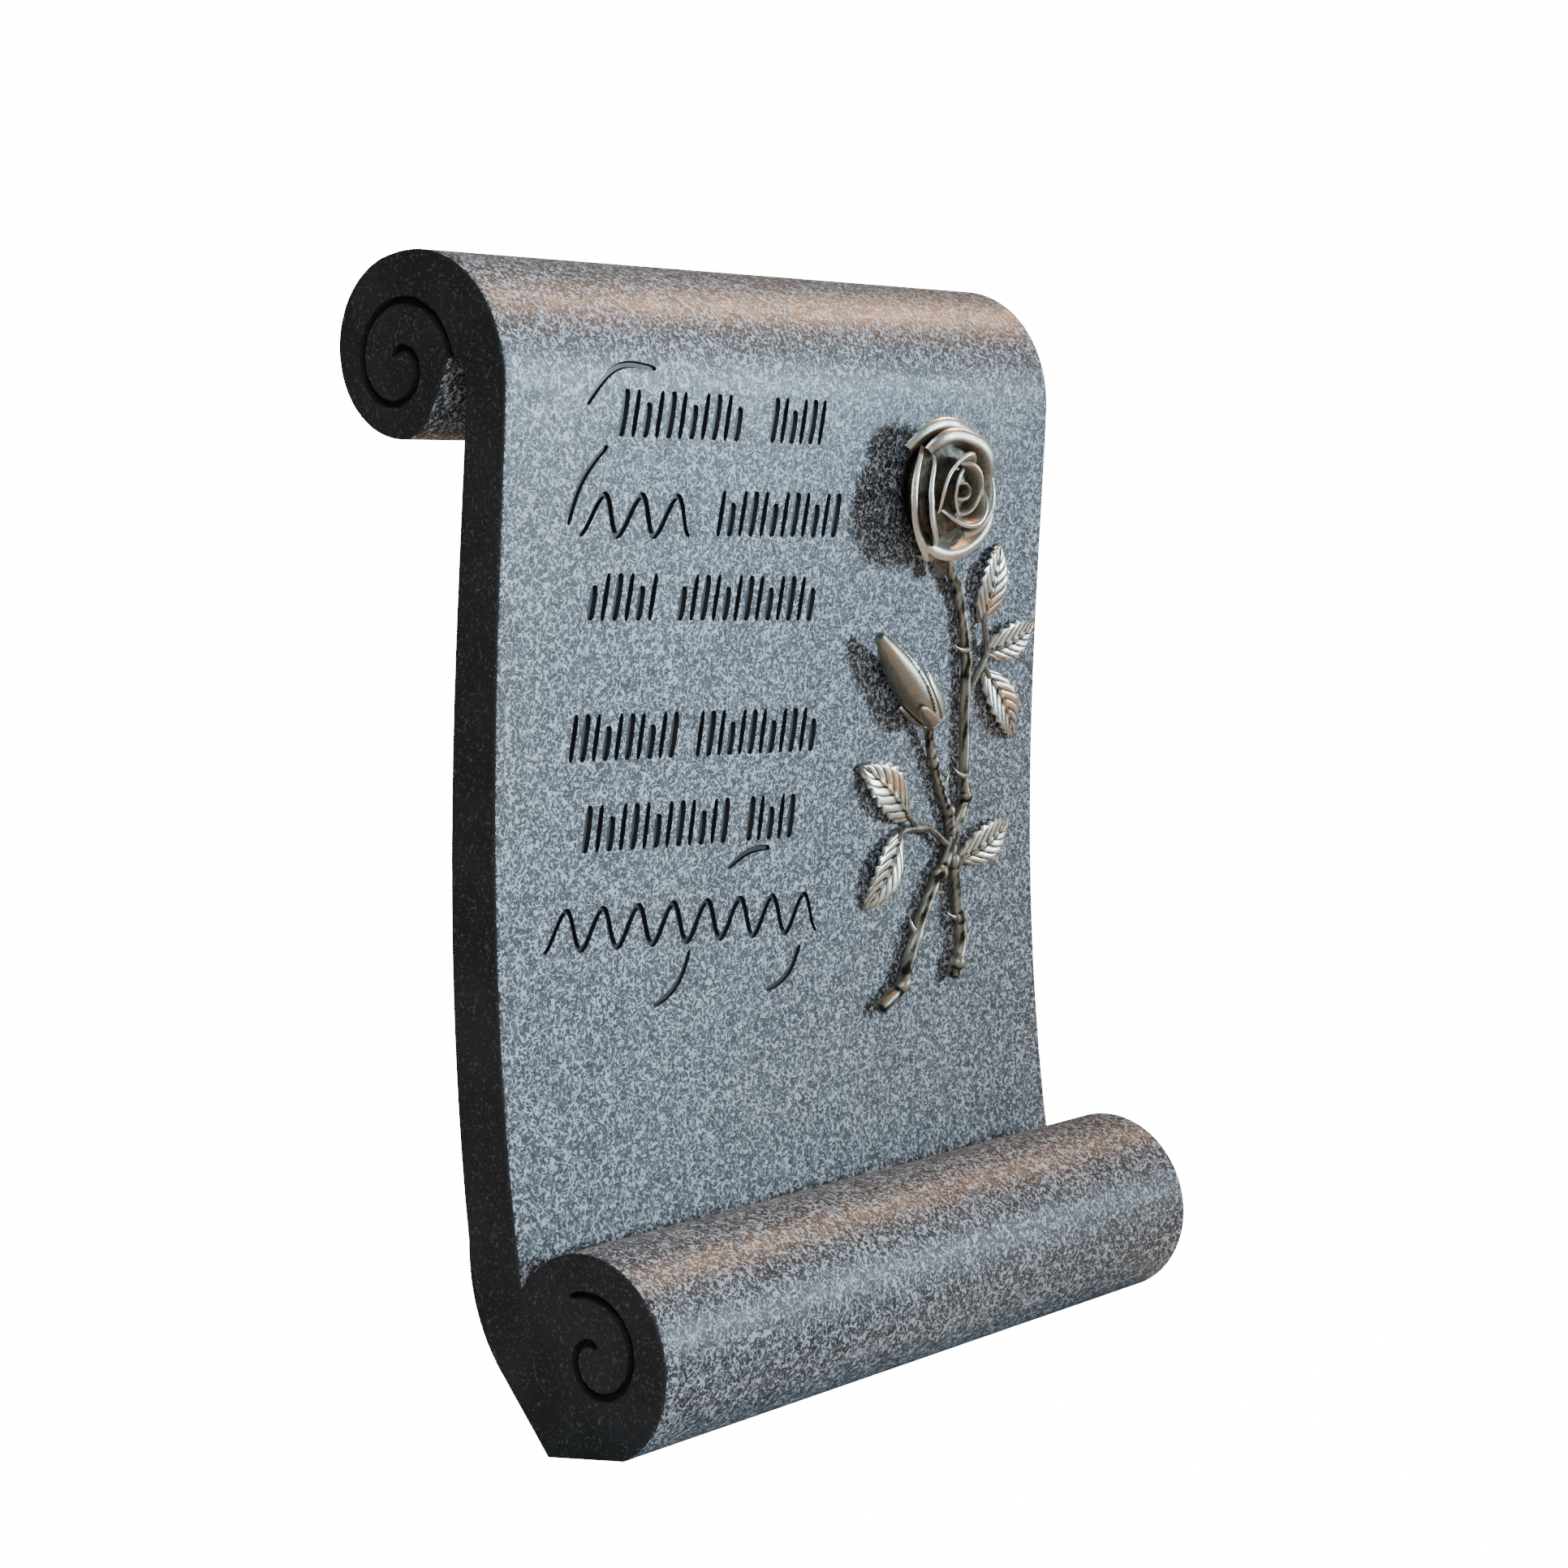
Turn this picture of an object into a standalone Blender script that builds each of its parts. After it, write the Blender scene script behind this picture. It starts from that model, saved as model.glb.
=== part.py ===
"""Graveside plaque cast as an open scroll, with a raised spray of roses on its front.

The scroll's outline is drawn in its own plane, with the lower roll's centre as the origin,
y towards the back and z up the sheet. It is then leaned forward onto its flat underside,
which puts its weight over that flat. The part's frame has its origin at the centre of the
underside, X along the rolls and the front towards -Y.
"""
import math
from typing import NamedTuple

import bmesh
import bpy
import numpy as np
from mathutils import Vector
from mathutils.geometry import interpolate_bezier

# Scroll, in metres
WIDTH = 0.1904
ROLL_RISE = 0.2081
UPPER_ROLL_SET_BACK = 0.0483
UPPER_ROLL_RADIUS = 0.0195
UPPER_OPEN_RADIUS = 0.0315
LOWER_ROLL_RADIUS = 0.0219
SHEET_TOP_THICKNESS = 0.0115
SHEET_FOOT_THICKNESS = 0.0145
SHEET_BOW = 0.0055
BEND_RISE = 0.0200
CLEFT_WIDTH = 0.0045
CLEFT_DEPTH = 0.0175
CLEFT_BEND = (0.26, 0.45)
CLEFT_MOUTH = 0.50

# Stance
FORWARD_LEAN = math.radians(8.0)
UNDERSIDE_CUT = 0.0010
FOOT_DEPTH = 0.0214

# Shape of the curl, as angles and powers
UPPER_OPEN_START = math.radians(80.0)
UPPER_OPEN_END = math.radians(196.0)
LOWER_OPEN_START = math.radians(-47.0)
CREASE_ANGLE = math.radians(32.0)
CURL_POWER = 1.6
BOW_SKEW = 1.25

# Spiral grooves on the side faces
GROOVE_WIDTH = 0.0016
GROOVE_DEPTH = 0.0016
GROOVE_PITCH = 0.0102
UPPER_GROOVE_TURNS = 1.33
UPPER_GROOVE_LEAD = 0.04
LOWER_GROOVE_TURNS = 1.13
LOWER_GROOVE_RADIUS = 0.0136
UPPER_GROOVE_OFFSET = (0.0012, -0.0038)
LOWER_GROOVE_OFFSET = (-0.0022, 0.0006)
LOWER_GROOVE_START = math.radians(61.0)

# Engraved rows
STROKE_WIDTH = 0.0014
BAR_WIDTHS = (0.0018, 0.0012, 0.0018, 0.0012)
BAR_HEIGHTS = (1.00, 1.00, 0.74, 1.00)
STROKE_DEPTH = 0.0010
FLOURISH_DEPTH = 0.0008
STROKE_PITCH = 0.0037
STROKE_SLANT = 0.18
CAPITAL_HEIGHT = 0.0101
WAVE_STEPS = 9
ARC_STEPS = 6
CUT_CLEARANCE = 0.0010

# Spray
SEAT_GAP = 0.0003
SPRAY_FROM_RIGHT = 0.0361
SPRAY_RISE = 0.0935

# Stems, stalks and thorns
STEM_FOOT_RADIUS = 0.0017
STEM_TOP_RADIUS = 0.0011
KNOT_SWELL = 1.12
KNOT_SPACING = 5
NECK_SHARE = 0.17
NECK_REACH = 0.5
TWIG_RADIUS = 0.0008
TWIG_REACH = 0.12
THORN_LENGTH = 0.0032
THORN_SLANT = 0.5

# Leaves
LEAF_THICKNESS = 0.0013
LEAF_LIFT = 0.0010
LEAF_RIB = 0.0006
LEAF_FOLD = 0.0012
LEAF_TEETH = 5
LEAF_NOTCH = 0.82
LEAF_SWEEP = 0.05
LEAF_END = 0.02
LEAF_BROADEST = 0.8
LEAF_FULLNESS = 0.75

# Open rose
BLOOM_RADIUS = 0.0168
BLOOM_LIFT = 0.0140
HEART_LIFTS = (0.10, 0.20, 0.38, 0.52)
HEART_RADII = (0.42, 0.66, 0.72, 0.40)
PETAL_THICKNESS = 0.0011
PETAL_FOOT_LIFT = 0.22
PETAL_WRAP = 0.09
PETAL_DROOP = 0.16

# Closed bud
BUD_RADIUS = 0.0047
BUD_BROADEST = 0.62
BUD_FULLNESS = 0.80
BUD_ARC = (math.radians(18.0), math.radians(172.0))
SEPAL_SHARES = (0.16, 0.42)
SEPAL_LIFTS = (1.38, 1.85, 1.80)
SEPAL_SIDES = (-0.75, 0.0, 0.75)

# Facets
ARC_STEP = math.radians(10.0)
SHEET_BANDS = 14
CLEFT_STEPS = 7
GROOVE_STEPS = 28
STEM_SIDES = 7
TWIG_SIDES = 5
HEART_SIDES = 14
BUD_SIDES = 12
BUD_RINGS = 9
PETAL_ROWS = 3
PETAL_COLUMNS = 7


class Row(NamedTuple):
    """One engraved row: its place on the sheet, its tilt and the spans it fills."""

    baseline: float
    tilt: float
    spans: tuple = ()
    wave: tuple = ()


class Petal(NamedTuple):
    """One petal: its middle and spread in degrees, then shares of the bloom's radius and lift."""

    middle: float
    spread: float
    foot: float
    rim: float
    lift: float
    curl: float


class Leaf(NamedTuple):
    """One leaf, from the foot of its blade to its tip, in metres from the stems' crossing."""

    foot: tuple
    tip: tuple
    width: float


# Baselines are measured from the sheet's top edge and spans from its left edge
ROWS = (
    Row(-0.0105, -0.016, spans=((0.0350, 0.0740), (0.0845, 0.1030))),
    Row(-0.0312, -0.018, spans=((0.0675, 0.1095),), wave=(0.0235, 0.0600, 3)),
    Row(-0.0493, -0.032, spans=((0.0275, 0.0480), (0.0560, 0.1020))),
    Row(-0.0792, -0.033, spans=((0.0225, 0.0560), (0.0630, 0.1040))),
    Row(-0.0989, -0.037, spans=((0.0270, 0.0735), (0.0805, 0.0965))),
    Row(-0.1190, -0.052, wave=(0.0140, 0.1060, 8)),
)

# Long single strokes: start, end and how far the middle bows aside
FLOURISHES = (
    ((0.0245, -0.0040), (0.0460, 0.0040), 0.0042),
    ((0.0200, -0.0290), (0.0310, -0.0125), 0.0020),
    ((0.0600, -0.1235), (0.0475, -0.1345), 0.0022),
    ((0.0980, -0.1265), (0.0855, -0.1355), 0.0022),
    ((0.0735, -0.1065), (0.0880, -0.1030), 0.0014),
)

PETALS = (
    Petal(192.0, 112.0, 0.62, 0.98, 0.72, 0.05),
    Petal(85.0, 120.0, 0.62, 0.98, 0.66, 0.09),
    Petal(-70.0, 122.0, 0.62, 1.00, 0.72, 0.06),
    Petal(192.0, 102.0, 0.50, 0.80, 0.90, 0.03),
    Petal(62.0, 150.0, 0.50, 0.76, 0.88, 0.14),
    Petal(-18.0, 100.0, 0.48, 0.74, 0.90, 0.05),
    Petal(130.0, 165.0, 0.34, 0.52, 1.00, 0.03),
    Petal(-65.0, 150.0, 0.34, 0.52, 0.98, 0.03),
    Petal(-5.0, 205.0, 0.20, 0.35, 1.00, 0.00),
    Petal(175.0, 190.0, 0.20, 0.33, 1.00, 0.00),
    Petal(20.0, 270.0, 0.08, 0.14, 0.97, 0.00),
)

LEAVES = (
    Leaf((0.0113, 0.0517), (0.0174, 0.0710), 0.0115),
    Leaf((0.0129, 0.0443), (0.0332, 0.0510), 0.0095),
    Leaf((0.0128, 0.0403), (0.0259, 0.0226), 0.0110),
    Leaf((-0.0161, 0.0053), (-0.0345, 0.0196), 0.0120),
    Leaf((-0.0193, 0.0027), (-0.0331, -0.0148), 0.0105),
    Leaf((0.0040, -0.0062), (0.0243, 0.0021), 0.0100),
)

MAIN_STEM = ((-0.0302, -0.0388), (-0.0214, -0.0334), (-0.0149, -0.0224), (-0.0084, -0.0122),
             (-0.0030, -0.0058), (0.0026, 0.0038), (0.0053, 0.0086), (0.0049, 0.0145),
             (0.0049, 0.0316), (0.0044, 0.0455), (0.0025, 0.0535), (0.0001, 0.0595),
             (-0.0040, 0.0655))
BUD_STEM = ((-0.0014, -0.0345), (0.0026, -0.0263), (0.0021, -0.0202), (0.0011, -0.0121),
            (0.0000, -0.0020), (-0.0007, 0.0050), (-0.0046, 0.0123), (-0.0081, 0.0205),
            (-0.0125, 0.0300))
# Each leaf stalk is given without its last point, which is the foot of its leaf
TWIGS = (
    ((0.0085, 0.0385), (0.0120, 0.0425), (0.0125, 0.0470)),
    ((0.0046, 0.0330), (0.0085, 0.0385), (0.0115, 0.0425)),
    ((0.0085, 0.0385), (0.0106, 0.0412)),
    ((-0.0005, -0.0030), (-0.0090, 0.0026), (-0.0140, 0.0034)),
    ((-0.0090, 0.0026), (-0.0150, 0.0030)),
    ((0.0004, -0.0105), (0.0020, -0.0085)),
)
THORNS = (
    (MAIN_STEM, 1, 1.0), (MAIN_STEM, 2, -1.0), (MAIN_STEM, 3, 1.0), (MAIN_STEM, 7, -1.0),
    (MAIN_STEM, 9, -1.0), (BUD_STEM, 1, 1.0), (BUD_STEM, 2, -1.0), (BUD_STEM, 6, 1.0),
)
BUD_FOOT = (-0.0125, 0.0298)
BUD_TIP = (-0.0338, 0.0503)
BLOOM_CENTRE = (-0.0136, 0.0846)


def clear_scene():
    """Remove what the scene holds at the start."""
    for item in list(bpy.data.objects):
        bpy.data.objects.remove(item, do_unlink=True)


def surface(name, colour, roughness, metallic):
    """Return a Principled material with the given finish."""
    finish = bpy.data.materials.new(name)
    finish.use_nodes = True
    shader = finish.node_tree.nodes["Principled BSDF"]
    shader.inputs["Base Color"].default_value = (*colour, 1.0)
    shader.inputs["Roughness"].default_value = roughness
    shader.inputs["Metallic"].default_value = metallic
    return finish


def add_object(name, vertices, faces):
    """Return a new object with outward faces made from vertices and faces."""
    mesh = bpy.data.meshes.new(name)
    mesh.from_pydata([tuple(v) for v in vertices], [], faces)
    shape = bmesh.new()
    shape.from_mesh(mesh)
    bmesh.ops.recalc_face_normals(shape, faces=shape.faces)
    shape.to_mesh(mesh)
    shape.free()
    item = bpy.data.objects.new(name, mesh)
    bpy.context.scene.collection.objects.link(item)
    return item


def make_helper(item):
    """Mark an object as a cutter or a piece that is joined into another."""
    item.hide_render = True
    item.display_type = "WIRE"
    return item


def curl(centre, start, end, start_radius, end_radius):
    """Return points on an arc whose radius eases from one value to the other."""
    steps = max(2, math.ceil(abs(end - start) / ARC_STEP))
    points = []
    for step in range(steps + 1):
        share = step / steps
        angle = start + (end - start) * share
        radius = start_radius + (end_radius - start_radius) * share ** CURL_POWER
        points.append((centre[0] + radius * math.cos(angle), centre[1] + radius * math.sin(angle)))
    return points


def on_circle(centre, radius, angle):
    """Return one point of a circle."""
    return centre[0] + radius * math.cos(angle), centre[1] + radius * math.sin(angle)


UPPER_CENTRE = (UPPER_ROLL_SET_BACK, ROLL_RISE)
CROWN = curl(UPPER_CENTRE, UPPER_OPEN_START, UPPER_OPEN_END, UPPER_ROLL_RADIUS, UPPER_OPEN_RADIUS)
SHEET_TOP = on_circle(UPPER_CENTRE, UPPER_OPEN_RADIUS, UPPER_OPEN_END)
SLOPE_STEP = SHEET_FOOT_THICKNESS / 10
SHEET_FOOT = on_circle((0.0, 0.0), LOWER_ROLL_RADIUS, CREASE_ANGLE)


def sheet_share(z):
    """Return how far down the sheet a height lies, 0 at its top and 1 at the crease."""
    share = (SHEET_TOP[1] - z) / (SHEET_TOP[1] - SHEET_FOOT[1])
    return min(max(share, 0.0), 1.0)


def sheet_front(z):
    """Return the depth of the sheet's gently hollow front at a height."""
    share = sheet_share(z)
    bow = share ** BOW_SKEW
    return SHEET_TOP[0] + (SHEET_FOOT[0] - SHEET_TOP[0]) * share + SHEET_BOW * 4.0 * bow * (1.0 - bow)


def front_depth(z):
    """Return the depth of the front at a height, on the sheet or on the bend above it."""
    if z <= SHEET_TOP[1]:
        return sheet_front(z)
    bend = [point for point in reversed(CROWN) if point[0] < UPPER_CENTRE[0]]
    return float(np.interp(z, [point[1] for point in bend], [point[0] for point in bend]))


def sheet_back(z):
    """Return the depth of the sheet's back at a height."""
    thickness = SHEET_TOP_THICKNESS + (SHEET_FOOT_THICKNESS - SHEET_TOP_THICKNESS) * sheet_share(z)
    return sheet_front(z) + thickness


def cleft_apex():
    """Return the end of the cleft between the sheet's back and the upper roll."""
    roll_foot = UPPER_CENTRE[1] - UPPER_ROLL_RADIUS
    rise = roll_foot + CLEFT_DEPTH
    return sheet_back(rise) + CLEFT_WIDTH, rise


def cleft_edge():
    """Return the cleft's outline, from the sheet's back over the apex to the roll's foot."""
    apex = cleft_apex()
    roll_foot = (UPPER_CENTRE[0], UPPER_CENTRE[1] - UPPER_ROLL_RADIUS)
    shoulder = (sheet_back(apex[1]) + CLEFT_WIDTH / 3, apex[1] - CLEFT_WIDTH / 5)
    knots = (apex,
             (apex[0] + (roll_foot[0] - apex[0]) * CLEFT_BEND[0], apex[1] - CLEFT_DEPTH * CLEFT_BEND[1]),
             (apex[0] + (roll_foot[0] - apex[0]) * CLEFT_MOUTH, roll_foot[1]),
             roll_foot)
    flat = [Vector((point[0], point[1], 0.0)) for point in knots]
    swept = interpolate_bezier(*flat, CLEFT_STEPS)
    return [shoulder] + [(point.x, point.y) for point in swept]


def scroll_outline():
    """Return the scroll's closed outline before it is leaned, with its solid on the left."""
    bend = (sheet_back(BEND_RISE), BEND_RISE)
    bend_angle = math.atan2(bend[1], bend[0])
    lower = curl((0.0, 0.0), CREASE_ANGLE, LOWER_OPEN_START + math.tau,
                 LOWER_ROLL_RADIUS, LOWER_ROLL_RADIUS)
    heel = curl((0.0, 0.0), LOWER_OPEN_START, bend_angle, LOWER_ROLL_RADIUS, math.hypot(*bend))
    cleft = cleft_edge()
    back_top = cleft[0][1] - CLEFT_WIDTH
    back = [(sheet_back(z), z) for z in np.linspace(BEND_RISE, back_top, SHEET_BANDS + 1)]
    upper = curl(UPPER_CENTRE, -math.pi / 2, UPPER_OPEN_START, UPPER_ROLL_RADIUS, UPPER_ROLL_RADIUS)
    front = [(sheet_front(z), z) for z in np.linspace(SHEET_TOP[1], SHEET_FOOT[1], SHEET_BANDS + 1)]
    return lower[:-1] + heel[:-1] + back + cleft + upper[1:-1] + CROWN[:-1] + front[:-1]


def lean(point):
    """Return an outline point turned forward about the lower roll's centre."""
    y, z = point
    return (y * math.cos(FORWARD_LEAN) - z * math.sin(FORWARD_LEAN),
            z * math.cos(FORWARD_LEAN) + y * math.sin(FORWARD_LEAN))


def stand(outline):
    """Lean the outline, cut its underside flat and carry the flat back to the heel.

    Returns the outline in the part's frame and the shift that brought it there.
    """
    leaned = [lean(point) for point in outline]
    level = min(point[1] for point in leaned) + UNDERSIDE_CUT
    first = next(i for i, point in enumerate(leaned) if point[1] < level)
    before, after = leaned[first - 1], leaned[first]
    share = (before[1] - level) / (before[1] - after[1])
    toe = before[0] + (after[0] - before[0]) * share
    heel = toe + FOOT_DEPTH
    behind = [i for i in range(first, len(leaned))
              if leaned[i][0] > heel and level < leaned[i][1] < level + LOWER_ROLL_RADIUS]
    tangent = min(behind, key=lambda i: (leaned[i][1] - level) / (leaned[i][0] - heel))
    standing = leaned[:first] + [(toe, level), (heel, level)] + leaned[tangent:]
    shift = (-(toe + heel) / 2, -level)
    return [(y + shift[0], z + shift[1]) for y, z in standing], shift


OUTLINE, SHIFT = stand(scroll_outline())


def place(x, y, z):
    """Return the part's coordinates of a point given in the scroll's own plane."""
    leaned = lean((y, z))
    return x, leaned[0] + SHIFT[0], leaned[1] + SHIFT[1]


def lifted(x, z, lift, depth):
    """Return the point lifted off a front whose depth at each height is given by a function."""
    slope = (depth(z + SLOPE_STEP) - depth(z - SLOPE_STEP)) / (2 * SLOPE_STEP)
    length = math.hypot(1.0, slope)
    return place(x, depth(z) - lift / length, z + lift * slope / length)


def prism(name, outline, left, right):
    """Return the solid swept along X from an outline given in the part's frame."""
    count = len(outline)
    vertices = [(x, y, z) for x in (left, right) for y, z in outline]
    faces = [(i, (i + 1) % count, count + (i + 1) % count, count + i) for i in range(count)]
    faces.append(tuple(range(count)))
    faces.append(tuple(range(count, 2 * count)))
    return add_object(name, vertices, faces)


def band_edges(route, width):
    """Return the two edges of a flat band of even width along a route in a plane."""
    path = np.array(route)
    ahead = np.gradient(path, axis=0)
    side = np.column_stack((-ahead[:, 1], ahead[:, 0]))
    side *= width / 2 / np.linalg.norm(side, axis=1)[:, None]
    return path + side, path - side


def band_faces(count, first):
    """Return the faces of a closed band with four vertices at each of its stations."""
    faces = []
    for i in range(count - 1):
        near, far = first + 4 * i, first + 4 * i + 4
        for side in range(4):
            other = (side + 1) % 4
            faces.append((near + side, near + other, far + other, far + side))
    last = first + 4 * (count - 1)
    faces.append((first, first + 1, first + 2, first + 3))
    faces.append((last, last + 1, last + 2, last + 3))
    return faces


def groove_route(centre, start, radius, turns, direction, lead=0.0):
    """Return a spiral that winds inwards at the groove's pitch, led in before its start."""
    route = []
    for step in range(GROOVE_STEPS + 1):
        turn = (turns + lead) * step / GROOVE_STEPS - lead
        angle = start + direction * math.tau * turn
        route.append(on_circle(centre, radius - GROOVE_PITCH * turn, angle))
    return route


def groove_routes():
    """Return the routes of the upper groove, which opens into the cleft, and of the lower one."""
    upper_centre = (UPPER_CENTRE[0] + UPPER_GROOVE_OFFSET[0], UPPER_CENTRE[1] + UPPER_GROOVE_OFFSET[1])
    apex = cleft_apex()
    reach = (apex[0] - upper_centre[0], apex[1] - upper_centre[1])
    upper = groove_route(upper_centre, math.atan2(reach[1], reach[0]), math.hypot(*reach),
                         UPPER_GROOVE_TURNS, -1.0, UPPER_GROOVE_LEAD)
    lower = groove_route(LOWER_GROOVE_OFFSET, LOWER_GROOVE_START, LOWER_GROOVE_RADIUS,
                         LOWER_GROOVE_TURNS, 1.0)
    return upper, lower


def groove_cutter():
    """Return the cutter of the spiral grooves on both side faces."""
    vertices = []
    faces = []
    for route in groove_routes():
        left, right = band_edges(route, GROOVE_WIDTH)
        for side in (-1.0, 1.0):
            outside = side * (WIDTH / 2 + CUT_CLEARANCE)
            floor = side * (WIDTH / 2 - GROOVE_DEPTH)
            first = len(vertices)
            for a, b in zip(left, right):
                vertices += [place(outside, *a), place(outside, *b), place(floor, *b), place(floor, *a)]
            faces += band_faces(len(route), first)
    return make_helper(add_object("groove_cutter", vertices, faces))


def tilted(row, start, point):
    """Return a row's point on the sheet, from its left edge and its height above the roll."""
    x, z = point
    return x, SHEET_TOP[1] + row.baseline + z + (x - start) * row.tilt


def bar_strokes(row, span, number, origin):
    """Return the slanted strokes that fill one span of a row, as routes with their widths."""
    slant = CAPITAL_HEIGHT * STROKE_SLANT
    start, end = span[0], span[1] - slant
    count = max(2, round((end - start) / STROKE_PITCH))
    strokes = []
    for i in range(count + 1):
        x = start + (end - start) * i / count
        beat = (i + number) % len(BAR_HEIGHTS)
        route = [tilted(row, origin, (x + slant * share, CAPITAL_HEIGHT * share))
                 for share in (0.0, BAR_HEIGHTS[beat])]
        strokes.append((route, BAR_WIDTHS[beat]))
    return strokes


def wave_route(row, origin):
    """Return one long flowing stroke that swings between the row's foot and its height."""
    start, end, crests = row.wave
    steps = crests * WAVE_STEPS
    half = (CAPITAL_HEIGHT - STROKE_WIDTH) / 2
    route = []
    for i in range(steps + 1):
        share = i / steps
        height = half - half * math.cos(math.tau * crests * share)
        x = start + (end - start - CAPITAL_HEIGHT * STROKE_SLANT) * share + STROKE_SLANT * height
        route.append(tilted(row, origin, (x, height)))
    return route


def row_strokes():
    """Return the strokes that fill the rows, as routes with their widths."""
    strokes = []
    for number, row in enumerate(ROWS):
        origin = min([span[0] for span in row.spans] + list(row.wave[:1]))
        for span in row.spans:
            strokes += bar_strokes(row, span, number, origin)
        if row.wave:
            strokes.append((wave_route(row, origin), STROKE_WIDTH))
    return strokes


def flourish_strokes():
    """Return the long single strokes, as routes with their widths."""
    strokes = []
    for start, end, bow in FLOURISHES:
        start, end = np.array(start), np.array(end)
        along = end - start
        aside = np.array((-along[1], along[0])) / np.linalg.norm(along)
        route = []
        for step in range(ARC_STEPS + 1):
            share = step / ARC_STEPS
            x, z = start + along * share + aside * bow * math.sin(math.pi * share)
            route.append((x, SHEET_TOP[1] + z))
        strokes.append((route, STROKE_WIDTH))
    return strokes


def stroke_cutter(name, strokes, depth):
    """Return the cutter of some strokes engraved to one depth."""
    vertices = []
    faces = []
    for route, width in strokes:
        left, right = band_edges(route, width)
        first = len(vertices)
        for a, b in zip(left, right):
            for (x, z), lift in ((a, CUT_CLEARANCE), (b, CUT_CLEARANCE), (b, -depth), (a, -depth)):
                vertices.append(lifted(x - WIDTH / 2, z, lift, front_depth))
        faces += band_faces(len(route), first)
    return make_helper(add_object(name, vertices, faces))


def cut(item, cutter):
    """Cut one object's shape out of another."""
    modifier = item.modifiers.new(cutter.name, "BOOLEAN")
    modifier.operation = "DIFFERENCE"
    modifier.solver = "EXACT"
    modifier.object = cutter


def build_scroll():
    """Build the scroll with its grooves and its engraved rows."""
    scroll = prism("scroll_body", OUTLINE, -WIDTH / 2, WIDTH / 2)
    scroll.data.materials.append(surface("granite_cast", (0.23, 0.24, 0.26), 0.55, 0.0))
    cut(scroll, groove_cutter())
    cut(scroll, stroke_cutter("row_cutter", row_strokes(), STROKE_DEPTH))
    cut(scroll, stroke_cutter("flourish_cutter", flourish_strokes(), FLOURISH_DEPTH))
    return scroll


def spray_front(z):
    """Return the depth of the sheet's front at a height, carried on straight above its top."""
    slope = (SHEET_TOP[0] - sheet_front(SHEET_TOP[1] - SLOPE_STEP)) / SLOPE_STEP
    return sheet_front(z) + slope * max(z - SHEET_TOP[1], 0.0)


def on_spray(point, lift):
    """Return the place of a spray point, given from the stems' crossing, lifted off the sheet."""
    x, z = WIDTH / 2 - SPRAY_FROM_RIGHT + point[0], SPRAY_RISE + point[1]
    return Vector(lifted(x, z, lift, spray_front))


def smooth_route(points, steps):
    """Return a smooth curve through a few points."""
    path = [np.array(point) for point in points]
    path = [2 * path[0] - path[1]] + path + [2 * path[-1] - path[-2]]
    route = []
    for before, start, end, after in zip(path, path[1:], path[2:], path[3:]):
        for step in range(steps):
            t = step / steps
            route.append(0.5 * (2 * start + (end - before) * t
                                + (2 * before - 5 * start + 4 * end - after) * t ** 2
                                + (3 * start - before - 3 * end + after) * t ** 3))
    route.append(path[-2])
    return route


def tube(name, centres, radii, sides):
    """Return a closed round bar along a row of centres."""
    vertices = []
    count = len(centres)
    for i, (centre, radius) in enumerate(zip(centres, radii)):
        ahead = (centres[min(i + 1, count - 1)] - centres[max(i - 1, 0)]).normalized()
        across = ahead.cross(Vector((0.0, 1.0, 0.0))).normalized()
        outward = across.cross(ahead)
        for side in range(sides):
            angle = math.tau * side / sides
            vertices.append(centre + radius * (math.cos(angle) * across + math.sin(angle) * outward))
    faces = []
    for i in range(count - 1):
        for side in range(sides):
            other = (side + 1) % sides
            faces.append((i * sides + side, i * sides + other,
                          (i + 1) * sides + other, (i + 1) * sides + side))
    faces.append(tuple(range(sides)))
    faces.append(tuple(range((count - 1) * sides, count * sides)))
    return make_helper(add_object(name, vertices, faces))


def shell(name, front, back):
    """Return the closed solid between two grids of points of the same size."""
    rows, columns = len(front), len(front[0])
    size = rows * columns
    vertices = [point for grid in (front, back) for line in grid for point in line]
    faces = []
    for i in range(rows - 1):
        for j in range(columns - 1):
            a, b = i * columns + j, i * columns + j + 1
            c, d = b + columns, a + columns
            faces.append((a, b, c, d))
            faces.append((size + a, size + d, size + c, size + b))
    rim = ([j for j in range(columns)]
           + [i * columns + columns - 1 for i in range(1, rows)]
           + [(rows - 1) * columns + j for j in range(columns - 2, -1, -1)]
           + [i * columns for i in range(rows - 2, 0, -1)])
    for a, b in zip(rim, rim[1:] + rim[:1]):
        faces.append((a, size + a, size + b, b))
    return make_helper(add_object(name, vertices, faces))


def stem_to(points, flower, reach):
    """Return a stem's points with one more that enters its flower."""
    last, centre = np.array(points[-1]), np.array(flower)
    away = last - centre
    return (*points, tuple(centre + away * reach / np.linalg.norm(away)))


def build_stem(name, points, top_lift):
    """Build one stem, thicker at its foot and rising to its flower."""
    route = smooth_route(points, 2)
    count = len(route) - 1
    centres = []
    radii = []
    for i, point in enumerate(route):
        share = i / count
        radius = STEM_FOOT_RADIUS + (STEM_TOP_RADIUS - STEM_FOOT_RADIUS) * share
        radius *= KNOT_SWELL if i % KNOT_SPACING == 0 else 1.0
        neck = max(0.0, (share - 1.0 + NECK_SHARE) / NECK_SHARE)
        centres.append(on_spray(point, SEAT_GAP + STEM_FOOT_RADIUS * KNOT_SWELL + top_lift * neck ** 2))
        radii.append(radius)
    return tube(name, centres, radii, STEM_SIDES)


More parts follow.
